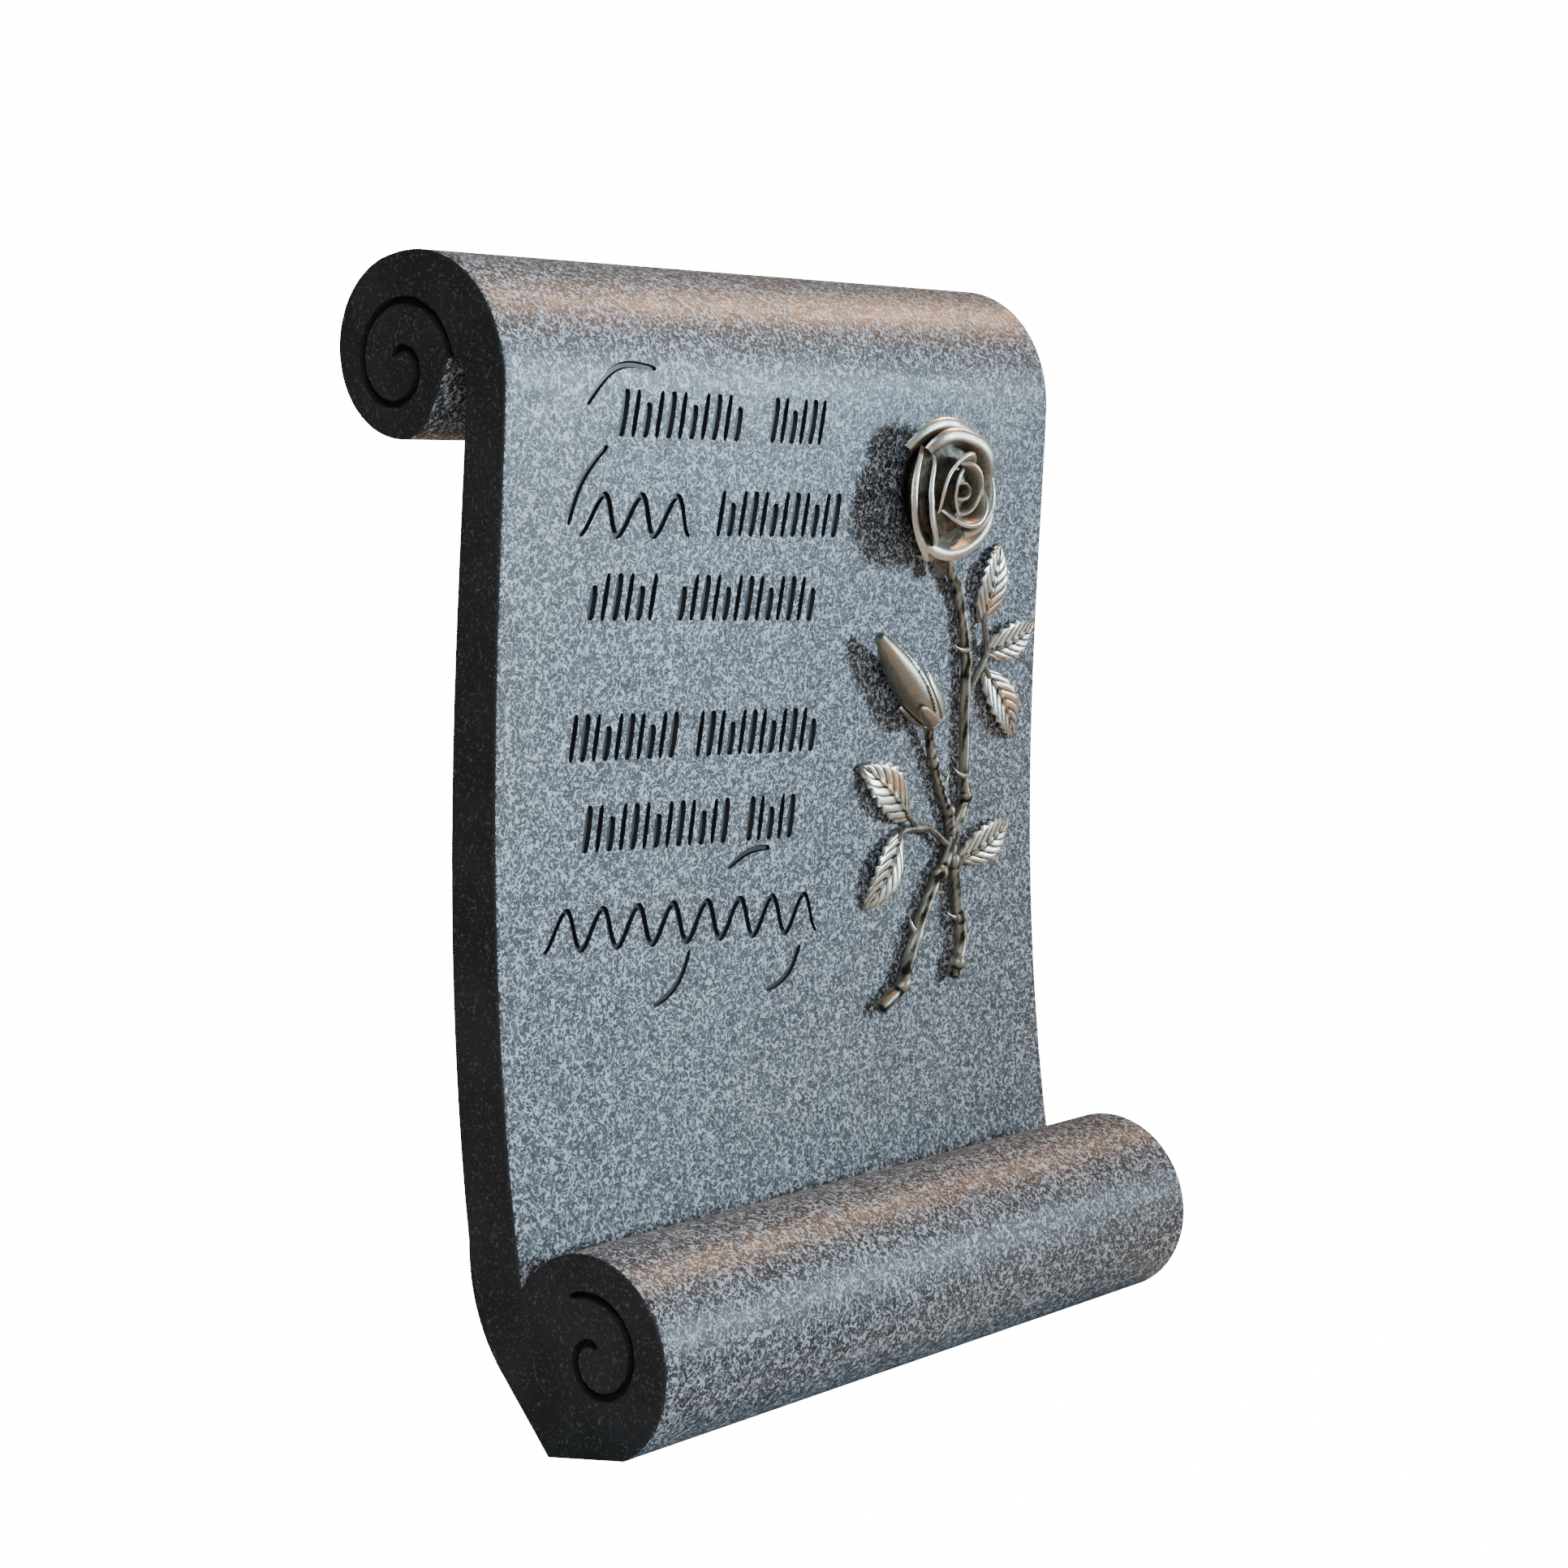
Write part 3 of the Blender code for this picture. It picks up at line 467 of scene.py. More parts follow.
@dataclass
class Inscription:
    """The engraved strokes: bars, flowing lines and long single strokes that spell nothing."""

    form: ScrollForm
    widths: tuple = (0.0023, 0.0015, 0.0023, 0.0015)
    heights: tuple = (1.00, 1.00, 0.74, 1.00)
    flowing_width: float = 0.0015
    floor_width: float = 0.6
    overshoot: float = 0.0002
    depth: float = 0.0007
    height: float = 0.0101
    pitch: float = 0.0037
    slant: float = 0.18
    rows: tuple = (
        EngravedRow(-0.0105, -0.016, ((0.0350, 0.0740), (0.0845, 0.1030))),
        EngravedRow(-0.0312, -0.018, ((0.0675, 0.1095),), (0.0235, 0.0600, 3)),
        EngravedRow(-0.0493, -0.032, ((0.0275, 0.0480), (0.0560, 0.1020))),
        EngravedRow(-0.0792, -0.033, ((0.0225, 0.0560), (0.0630, 0.1040))),
        EngravedRow(-0.0989, -0.037, ((0.0270, 0.0735), (0.0805, 0.0965))),
        EngravedRow(-0.1190, -0.052, (), (0.0140, 0.1060, 8)),
    )
    flourishes: tuple = (
        ((0.0245, -0.0040), (0.0460, 0.0040), 0.0042),
        ((0.0200, -0.0290), (0.0310, -0.0125), 0.0020),
        ((0.0600, -0.1235), (0.0475, -0.1345), 0.0022),
        ((0.0980, -0.1265), (0.0855, -0.1355), 0.0022),
        ((0.0735, -0.1065), (0.0880, -0.1030), 0.0014),
    )

    def bars(self, row: EngravedRow, span: tuple, number: int, origin: float) -> list[tuple]:
        """Return the slanted strokes of one span, thick and thin, long and short by turns.

        Args:
            row: The row.
            span: Start and end of the span from the sheet's left edge.
            number: The row's number, which shifts the beat.
            origin: Where the row's tilt starts.

        Returns:
            A route of x and z with its width for each stroke.
        """
        slant = self.height * self.slant
        start, end = span[0], span[1] - slant
        count = max(2, round((end - start) / self.pitch))
        share = np.linspace(0.0, 1.0, 15)
        strokes = []
        for i in range(count + 1):
            beat = (i + number) % len(self.heights)
            up = self.heights[beat] * share
            x = start + (end - start) * i / count + slant * up
            strokes.append((self.tilted(row, origin, x, self.height * up), self.widths[beat]))
        return strokes

    def tilted(self, row: EngravedRow, origin: float, x: np.ndarray, z: np.ndarray) -> np.ndarray:
        """Put points of a row on the sheet: z = top + baseline + z + (x - origin) tilt."""
        return np.column_stack((x, self.form.top[1] + row.baseline + z + (x - origin) * row.tilt))

    def flowing(self, row: EngravedRow, origin: float) -> np.ndarray:
        """Return one flowing stroke: z = h - h cos(2 pi crests s), with x leaning with z."""
        start, end, crests = row.wave
        share = np.linspace(0.0, 1.0, crests * 22 + 1)
        half = (self.height - self.flowing_width) / 2
        z = half - half * np.cos(math.tau * crests * share)
        x = start + (end - start - self.height * self.slant) * share + self.slant * z
        return self.tilted(row, origin, x, z)

    def row_strokes(self) -> list[tuple]:
        """Return the strokes in the rows, as routes with their widths."""
        strokes = []
        for number, row in enumerate(self.rows):
            origin = min([span[0] for span in row.spans] + list(row.wave[:1]))
            for span in row.spans:
                strokes += self.bars(row, span, number, origin)
            if row.wave:
                strokes.append((self.flowing(row, origin), self.flowing_width))
        return strokes

    def flourish_strokes(self) -> list[tuple]:
        """Return the long single strokes: straight lines, each bowed aside by bow sin(pi s)."""
        strokes = []
        share = np.linspace(0.0, 1.0, 33)[:, None]
        for start, end, bow in self.flourishes:
            along = np.array(end) - np.array(start)
            route = np.array(start) + along * share - crosswise(along) * bow * np.sin(math.pi * share)
            strokes.append((route + (0.0, self.form.top[1]), self.flowing_width))
        return strokes

    def cutter(self, name: str, strokes: list[tuple], depth: float) -> bpy.types.Object:
        """Return a cutter with a channel along each stroke, whose width swells from both ends.

        The half width is w/2 (0.45 + 0.55 sin(pi s)^0.3), and the floor is 0.6 as wide as the mouth.

        Args:
            name: The cutter's name.
            strokes: Routes on the sheet as x from its left edge and z, with their widths.
            depth: Depth of the floor.

        Returns:
            The cutter.
        """
        channels = []
        for route, width in strokes:
            side = -crosswise(np.gradient(route, axis=0))
            share = np.linspace(0.0, 1.0, len(route))
            half = width / 2 * (0.45 + 0.55 * np.abs(np.sin(math.pi * share)) ** 0.3)[:, None]
            mouth, floor = half * (1.0 + 0.5 * self.overshoot / depth), half * self.floor_width
            corners = []
            for reach, lift in ((mouth, self.overshoot), (-mouth, self.overshoot),
                                (-floor, -depth), (floor, -depth)):
                flat = route + side * reach
                x = flat[:, 0] - self.form.width / 2
                corners.append(self.form.lifted(x, flat[:, 1], lift, self.form.front))
            channels.append(channel_form(corners))
        return add_cutter(name, channels, Surface.STROKE)


@dataclass
class Scroll:
    """The scroll: a swept block with softened, slightly uneven rims, side spirals and engraved rows."""

    form: ScrollForm
    rim: float = 0.0007
    chip: float = 0.00025
    groove_width: float = 0.0016
    groove_depth: float = 0.0016
    groove_pitch: float = 0.0102
    upper_turns: float = 1.33
    upper_lead: float = 0.04
    lower_turns: float = 1.13
    lower_groove_radius: float = 0.0136
    upper_offset: tuple = (0.0012, -0.0038)
    lower_offset: tuple = (-0.0022, 0.0006)
    lower_groove_start: float = math.radians(61.0)
    rim_steps: int = 5
    wear_length: float = 0.01
    groove_mouth: float = 1.35
    groove_floor: float = 0.5
    groove_overshoot: float = 0.0006
    groove_taper: float = 14.0

    def block(self) -> bpy.types.Object:
        """Sweep the outline along X with rims rounded by a quarter circle of the rim radius.

        At a rim station the outline is drawn in along its normal by r (1 - cos a) and the side
        by r (1 - sin a), both with a seeded unevenness.

        Returns:
            The block with its face and side material places set.
        """
        outline = self.form.outline()
        count, half, steps = len(outline), self.form.width / 2, self.rim_steps
        ahead = np.roll(outline, -1, axis=0) - np.roll(outline, 1, axis=0)
        inward = -crosswise(ahead)
        quarter = np.linspace(0.0, math.pi / 2, steps)
        inner = np.linspace(-half + self.rim * 3, half - self.rim * 3, 17)
        drawn, aside = self.rim * (1.0 - np.cos(quarter)), self.rim * (1.0 - np.sin(quarter))
        stations = np.concatenate((-half + aside[::-1], inner, half - aside))
        insets = np.concatenate((drawn[::-1], np.zeros(len(inner)), drawn))[:, None]
        length = np.cumsum(np.linalg.norm(ahead, axis=1)) / (2 * self.wear_length)
        wear = [self.chip * np.clip(ripple(length, seed), 0.0, 1.0) ** 2 for seed in (3, 4)]
        reach = np.repeat(insets, count, axis=1)
        reach[:steps] += wear[0] * (insets[:steps] / self.rim)
        reach[-steps:] += wear[1] * (insets[-steps:] / self.rim)
        points = np.zeros((len(stations), count, 3))
        points[:, :, 0] = stations[:, None]
        points[:, :, 1:] = outline[None] + inward[None] * reach[:, :, None]
        points = np.clip(points, np.array(CAD_BOX[0]), np.array(CAD_BOX[1]))
        last = (len(stations) - 1) * count
        caps = [list(range(count)), list(range(last, last + count))]
        mesh = new_mesh("scroll", points, grid_quads(len(stations), count, wrap=True).tolist() + caps)
        bands = np.repeat(np.arange(len(stations) - 1), count)
        on_rim = (bands < steps - 2) | (bands > len(stations) - steps)
        places = np.full(len(mesh.polygons), Surface.SIDE.value, np.int32)
        places[:len(bands)][~on_rim] = Surface.FACE.value
        mesh.polygons.foreach_set("material_index", places)
        return placed("scroll", mesh)

    def spiral(self, centre: np.ndarray, start: float, radius: float, turns: float, way: float,
               lead: float) -> np.ndarray:
        """Return a spiral: angle start + way 2 pi t and radius R - pitch t, t from -lead to the turns."""
        turn = np.linspace(-lead, turns, 120)
        angle = start + way * math.tau * turn
        reach = radius - self.groove_pitch * turn
        return np.column_stack((centre[0] + reach * np.cos(angle), centre[1] + reach * np.sin(angle)))

    def groove_cutter(self) -> bpy.types.Object:
        """Return the cutter of both spirals on both side faces, with tapering ends."""
        upper_centre = np.array(self.form.upper_centre) + self.upper_offset
        reach = self.form.cleft_apex() - upper_centre
        routes = (
            self.spiral(upper_centre, math.atan2(reach[1], reach[0]), math.hypot(*reach),
                        self.upper_turns, -1.0, self.upper_lead),
            self.spiral(np.array(self.lower_offset), self.lower_groove_start, self.lower_groove_radius,
                        self.lower_turns, 1.0, 0.0),
        )
        channels = []
        for number, route in enumerate(routes):
            side = -crosswise(np.gradient(route, axis=0))
            share = np.linspace(0.0, 1.0, len(route))
            ends = np.clip((1.0 - share) * self.groove_taper, 0.0, 1.0) ** 0.5
            if number == 1:
                ends = ends * np.clip(share * self.groove_taper, 0.0, 1.0) ** 0.5
            uneven = 1.0 + 0.12 * ripple(share * 3.0, 11 + number)
            half = (self.groove_width / 2 * (0.35 + 0.65 * ends) * uneven)[:, None]
            for way in (-1.0, 1.0):
                corners = []
                for reach, depth in ((self.groove_mouth, -self.groove_overshoot),
                                     (-self.groove_mouth, -self.groove_overshoot),
                                     (-self.groove_floor, self.groove_depth),
                                     (self.groove_floor, self.groove_depth)):
                    flat = route + side * half * reach
                    x = way * (self.form.width / 2 - depth)
                    corners.append(self.form.place(x, flat[:, 0], flat[:, 1]))
                channels.append(channel_form(corners))
        return add_cutter("groove_cutter", channels, Surface.GROOVE)

    def build(self, finishes: dict[Surface, bpy.types.Material]) -> bpy.types.Object:
        """Build the scroll, carve it and dress it.

        Args:
            finishes: The material of each place.

        Returns:
            The finished scroll.
        """
        piece = self.block()
        for place in Surface:
            piece.data.materials.append(finishes[place])
        inscription = Inscription(self.form)
        carve(piece, self.groove_cutter())
        carve(piece, inscription.cutter("row_cutter", inscription.row_strokes(), inscription.depth))
        carve(piece, inscription.cutter("flourish_cutter", inscription.flourish_strokes(),
                                        inscription.depth * 0.8))
        mesh = piece.data
        mesh.shade_smooth()
        mesh.set_sharp_from_angle(angle=STONE_SHARP)
        normals = np.zeros(len(mesh.polygons) * 3, np.float32)
        mesh.polygons.foreach_get("normal", normals)
        smooth = np.abs(normals.reshape(-1, 3)[:, 0]) < 0.9995
        mesh.polygons.foreach_set("use_smooth", smooth)
        return piece


def carve(piece: bpy.types.Object, cutter: bpy.types.Object) -> None:
    """Cut one object's shape out of another, keep the result as its mesh and remove the cutter.

    Args:
        piece: The object that is carved.
        cutter: The object that is taken away from it.
    """
    modifier = piece.modifiers.new(cutter.name, "BOOLEAN")
    modifier.operation = "DIFFERENCE"
    modifier.solver = "EXACT"
    modifier.object = cutter
    graph = bpy.context.evaluated_depsgraph_get()
    graph.update()
    mesh = bpy.data.meshes.new_from_object(piece.evaluated_get(graph))
    piece.modifiers.clear()
    piece.data = mesh
    bpy.data.objects.remove(cutter, do_unlink=True)


class Nodes:
    """A short way to make the nodes of a material or of a node group."""

    def __init__(self, tree: bpy.types.NodeTree) -> None:
        """Keep the tree that the nodes are made in."""
        self.tree = tree

    def feed(self, node: bpy.types.Node, **inputs: object) -> None:
        """Set or link inputs of a node.

        Args:
            node: The node.
            **inputs: Values or sockets by input name, with underscores for spaces, or by number
                as i0, i1.
        """
        for key, value in inputs.items():
            socket = node.inputs[int(key[1:]) if key[1:].isdigit() else key.replace("_", " ")]
            if isinstance(value, bpy.types.NodeSocket):
                self.tree.links.new(value, socket)
            else:
                socket.default_value = value

    def add(self, kind: str, settings: dict | None = None, **inputs: object) -> bpy.types.Node:
        """Make a node.

        Args:
            kind: The node's type name.
            settings: Properties of the node.
            **inputs: What feed takes.

        Returns:
            The new node.
        """
        node = self.tree.nodes.new(kind)
        for key, value in (settings or {}).items():
            setattr(node, key, value)
        self.feed(node, **inputs)
        return node

    def math(self, operation: str, *values: object) -> bpy.types.NodeSocket:
        """Return the result of a Math node for one to three values."""
        inputs = {f"i{number}": value for number, value in enumerate(values)}
        return self.add("ShaderNodeMath", {"operation": operation}, **inputs).outputs[0]

    def ramp(self, value: object, low: float, high: float, start: float = 0.0,
             end: float = 1.0) -> bpy.types.NodeSocket:
        """Return a smooth step from start at low to end at high."""
        return self.add("ShaderNodeMapRange", {"interpolation_type": "SMOOTHSTEP"}, Value=value,
                        From_Min=low, From_Max=high, To_Min=start, To_Max=end).outputs[0]

    def noise(self, vector: object, scale: object, detail: float = 2.0, distortion: float = 0.0,
              roughness: float = 0.5) -> bpy.types.NodeSocket:
        """Return the value of a Noise node."""
        return self.add("ShaderNodeTexNoise", Vector=vector, Scale=scale, Detail=detail,
                        Distortion=distortion, Roughness=roughness).outputs[0]

    def mix(self, share: object, first: object, second: object) -> bpy.types.NodeSocket:
        """Return the mix of two colours."""
        return self.add("ShaderNodeMix", {"data_type": "RGBA"}, i0=share, i6=first, i7=second).outputs[2]

    def effect(self, tree: bpy.types.NodeTree, **inputs: object) -> bpy.types.NodeSocket:
        """Return the first result of a node group."""
        return self.add("ShaderNodeGroup", {"node_tree": tree}, **inputs).outputs[0]

    def bump(self, height: object, strength: float, distance: float) -> bpy.types.NodeSocket:
        """Return the normals of a surface that is raised by a height."""
        return self.add("ShaderNodeBump", Strength=strength, Distance=distance, Height=height).outputs[0]

    def camera_share(self) -> bpy.types.NodeSocket:
        """Return 1 on rays that come straight from the view and 0 on others."""
        return self.add("ShaderNodeLightPath").outputs["Is Camera Ray"]


class Finish(Nodes):
    """A material in the making, with its shader and the piece's own coordinates."""

    def __init__(self, name: str) -> None:
        """Start the material and keep its shader."""
        self.material = bpy.data.materials.new(name)
        self.material.use_nodes = True
        super().__init__(self.material.node_tree)
        self.shader = self.tree.nodes["Principled BSDF"]
        self.where = self.add("ShaderNodeTexCoord").outputs["Object"]

    def dressed(self, **inputs: object) -> bpy.types.Material:
        """Feed the shader and return the material."""
        self.feed(self.shader, **inputs)
        return self.material


def group(name: str, inputs: dict[str, tuple[str, object]], output: str) -> tuple:
    """Start a shader node group with named sockets and one number as its result.

    Args:
        name: The group's name.
        inputs: Socket kind and default by name.
        output: Name of the result.

    Returns:
        A node maker in the group, its inputs and the socket of its result.
    """
    tree = bpy.data.node_groups.new(name, "ShaderNodeTree")
    for label, (kind, default) in inputs.items():
        socket = tree.interface.new_socket(label, in_out="INPUT", socket_type=kind)
        if default is not None:
            socket.default_value = default
    tree.interface.new_socket(output, in_out="OUTPUT", socket_type="NodeSocketFloat")
    enter, leave = tree.nodes.new("NodeGroupInput"), tree.nodes.new("NodeGroupOutput")
    return Nodes(tree), enter.outputs, leave.inputs[output]


def fleck_group() -> bpy.types.NodeTree:
    """Make the effect of short pale worm-like flecks: the places where a warped noise is near its
    middle value, broken up by a second finer noise.

    Returns:
        The group, with Vector, Scale, Width and Amount in and Mask out.
    """
    make, given, mask = group(
        "stone_flecks",
        {"Vector": ("NodeSocketVector", None), "Scale": ("NodeSocketFloat", 420.0),
         "Width": ("NodeSocketFloat", 0.030), "Amount": ("NodeSocketFloat", 0.5)}, "Mask")
    worm = make.noise(given["Vector"], given["Scale"], 1.0, 0.6)
    near = make.math("ABSOLUTE", make.math("SUBTRACT", worm, 0.5))
    line = make.ramp(make.math("DIVIDE", near, given["Width"]), 0.6, 1.3, 1.0, 0.0)
    breaks = make.noise(given["Vector"], make.math("MULTIPLY", given["Scale"], 1.35), 0.0, 0.4)
    low = make.math("SUBTRACT", 1.0, given["Amount"])
    gate = make.ramp(make.math("SUBTRACT", breaks, low), -0.03, 0.05)
    make.tree.links.new(make.math("MULTIPLY", line, gate), mask)
    return make.tree


def grain_group() -> bpy.types.NodeTree:
    """Make the effect of a fine uneven surface: a sum of a coarse and a fine noise.

    Returns:
        The group, with Vector, Scale and Fine in and Height out.
    """
    make, given, height = group(
        "surface_grain",
        {"Vector": ("NodeSocketVector", None), "Scale": ("NodeSocketFloat", 300.0),
         "Fine": ("NodeSocketFloat", 0.5)}, "Height")
    coarse = make.noise(given["Vector"], given["Scale"], 3.0, 0.0, 0.55)
    fine = make.noise(given["Vector"], make.math("MULTIPLY", given["Scale"], 5.0), 2.0)
    make.tree.links.new(make.math("MULTIPLY_ADD", fine, given["Fine"], coarse), height)
    return make.tree


@dataclass(frozen=True)
class StoneFace:
    """Speckled stone effect of the front, the back and the rolls."""

    ground: tuple = (0.058, 0.064, 0.072, 1.0)
    warm: tuple = (0.066, 0.060, 0.054, 1.0)
    pale: tuple = (0.56, 0.62, 0.68, 1.0)
    dark: tuple = (0.018, 0.020, 0.024, 1.0)
    warm_share: float = 0.6
    small_share: float = 0.55
    large_share: float = 0.85
    roughness: float = 0.45

    def make(self, flecks: bpy.types.NodeTree, grain: bpy.types.NodeTree) -> bpy.types.Material:
        """Return the material: ground mottled dark and warm, with two sizes of pale flecks."""
        make = Finish("stone_face")
        cloud = make.ramp(make.noise(make.where, 420.0, 3.0, 0.5), 0.38, 0.62)
        warmth = make.ramp(make.noise(make.where, 9.0, 2.0), 0.45, 0.65)
        colour = make.mix(cloud, self.dark, self.ground)
        colour = make.mix(make.math("MULTIPLY", warmth, self.warm_share), colour, self.warm)
        for scale, amount, share in ((1150.0, 0.52, self.small_share), (600.0, 0.56, self.large_share)):
            mask = make.effect(flecks, Vector=make.where, Scale=scale, Width=0.050, Amount=amount)
            colour = make.mix(make.math("MULTIPLY", mask, share), colour, self.pale)
        height = make.effect(grain, Vector=make.where, Scale=350.0, Fine=0.4)
        rough = make.ramp(height, 0.4, 1.0, self.roughness - 0.06, self.roughness + 0.10)
        return make.dressed(Base_Color=colour, Normal=make.bump(height, 0.22, 0.0003),
                            Specular_IOR_Level=0.35, Roughness=rough)


@dataclass(frozen=True)
class StoneSide:
    """Dark, matte and slightly rough cast surface of the side faces and of the grooves in them; its
    near-black colour is partly the side's own dark tone and partly painted shade of faces turned away from
    the lamps.
    """

    name: str = "stone_side"
    # near-black ground: the side's own dark tone, darkened further as painted shade
    ground: tuple = (0.014, 0.0145, 0.016, 1.0)
    speck: tuple = (0.13, 0.13, 0.135, 1.0)
    roughness: float = 0.62
    mottle: float = 1.9
    speck_share: float = 0.7

    def make(self, flecks: bpy.types.NodeTree, grain: bpy.types.NodeTree) -> bpy.types.Material:
        """Return the material: near-black ground, partly painted shade, with sparse grey specks."""
        make = Finish(self.name)
        sparse = make.effect(flecks, Vector=make.where, Scale=900.0, Width=0.045, Amount=0.42)
        cloud = make.ramp(make.noise(make.where, 60.0, 4.0), 0.35, 0.7)
        lighter = tuple(value * self.mottle for value in self.ground[:3]) + (1.0,)
        colour = make.mix(make.math("MULTIPLY", sparse, self.speck_share),
                          make.mix(cloud, self.ground, lighter), self.speck)
        height = make.effect(grain, Vector=make.where, Scale=160.0, Fine=0.35)
        return make.dressed(Base_Color=colour, Normal=make.bump(height, 0.5, 0.0008),
                            Roughness=self.roughness)


@dataclass(frozen=True)
class StrokePaint:
    """Black fill of the engraved strokes, with a soft gloss."""

    colour: tuple = (0.006, 0.006, 0.007, 1.0)
    worn: tuple = (0.012, 0.012, 0.013, 1.0)
    roughness: float = 0.42

    def make(self, grain: bpy.types.NodeTree) -> bpy.types.Material:
        """Return the material, with a faint unevenness in its colour and surface."""
        make = Finish("stroke_paint")
        height = make.effect(grain, Vector=make.where, Scale=420.0, Fine=0.3)
        colour = make.mix(make.ramp(height, 0.3, 1.1), self.colour, self.worn)
        return make.dressed(Base_Color=colour, Normal=make.bump(height, 0.15, 0.0002),
                            Roughness=self.roughness, Specular_IOR_Level=0.25)


@dataclass(frozen=True)
class Pewter:
    """Antique pewter: dark olive-bronze in the recesses, rubbed bright on rims, with coppery patches."""

    bright: tuple = (0.68, 0.655, 0.56, 1.0)
    middle: tuple = (0.34, 0.315, 0.25, 1.0)
    recess: tuple = (0.022, 0.020, 0.014, 1.0)
    copper: tuple = (0.62, 0.36, 0.20, 1.0)
    spots: tuple = (((0.0360, 0.000, 0.1320), 0.0060), ((0.0815, -0.004, 0.1490), 0.0060),
                    ((0.0725, -0.009, 0.1710), 0.0050), ((0.0750, -0.007, 0.1605), 0.0040),
                    ((0.0340, -0.010, 0.1800), 0.0060), ((0.0520, -0.018, 0.1660), 0.0060))

    def make(self, grain: bpy.types.NodeTree) -> bpy.types.Material:
        """Return the material, coloured by the piece's own shade values and broken up by noise."""
        make = Finish("antique_pewter_aged")
        shade = make.add("ShaderNodeAttribute", {"attribute_name": "shade"}).outputs["Fac"]
        height = make.effect(grain, Vector=make.where, Scale=380.0, Fine=0.5)
        worn = make.math("MULTIPLY_ADD", make.math("SUBTRACT", height, 0.75), 0.35, shade)
        patch = make.ramp(make.noise(make.where, 95.0, 2.0), 0.60, 0.78, 0.0, 0.30)
        for centre, radius in self.spots:
            apart = make.add("ShaderNodeVectorMath", {"operation": "DISTANCE"}, i0=make.where, i1=centre)
            spot = make.ramp(apart.outputs["Value"], radius * 0.5, radius, 0.75, 0.0)
            patch = make.math("MAXIMUM", patch, spot)
        colour = make.mix(make.ramp(worn, 0.12, 0.50), self.recess, self.middle)
        colour = make.mix(make.ramp(worn, 0.50, 0.90), colour, self.bright)
        colour = make.mix(make.math("MULTIPLY", patch, make.ramp(worn, 0.15, 0.45)), colour, self.copper)
        rough = make.ramp(worn, 0.1, 0.9, 0.52, 0.34)
        return make.dressed(Base_Color=colour, Metallic=1.0, Roughness=rough,
                            Normal=make.bump(height, 0.35, 0.0003))


@dataclass
class Petal:
    """One petal: middle and spread in degrees, then foot, rim, lift and roll as shares of the bloom."""

    middle: float
    spread: float
    foot: float
    rim: float
    lift: float
    roll: float
    droop: float = 0.20
    notch: float = 0.03


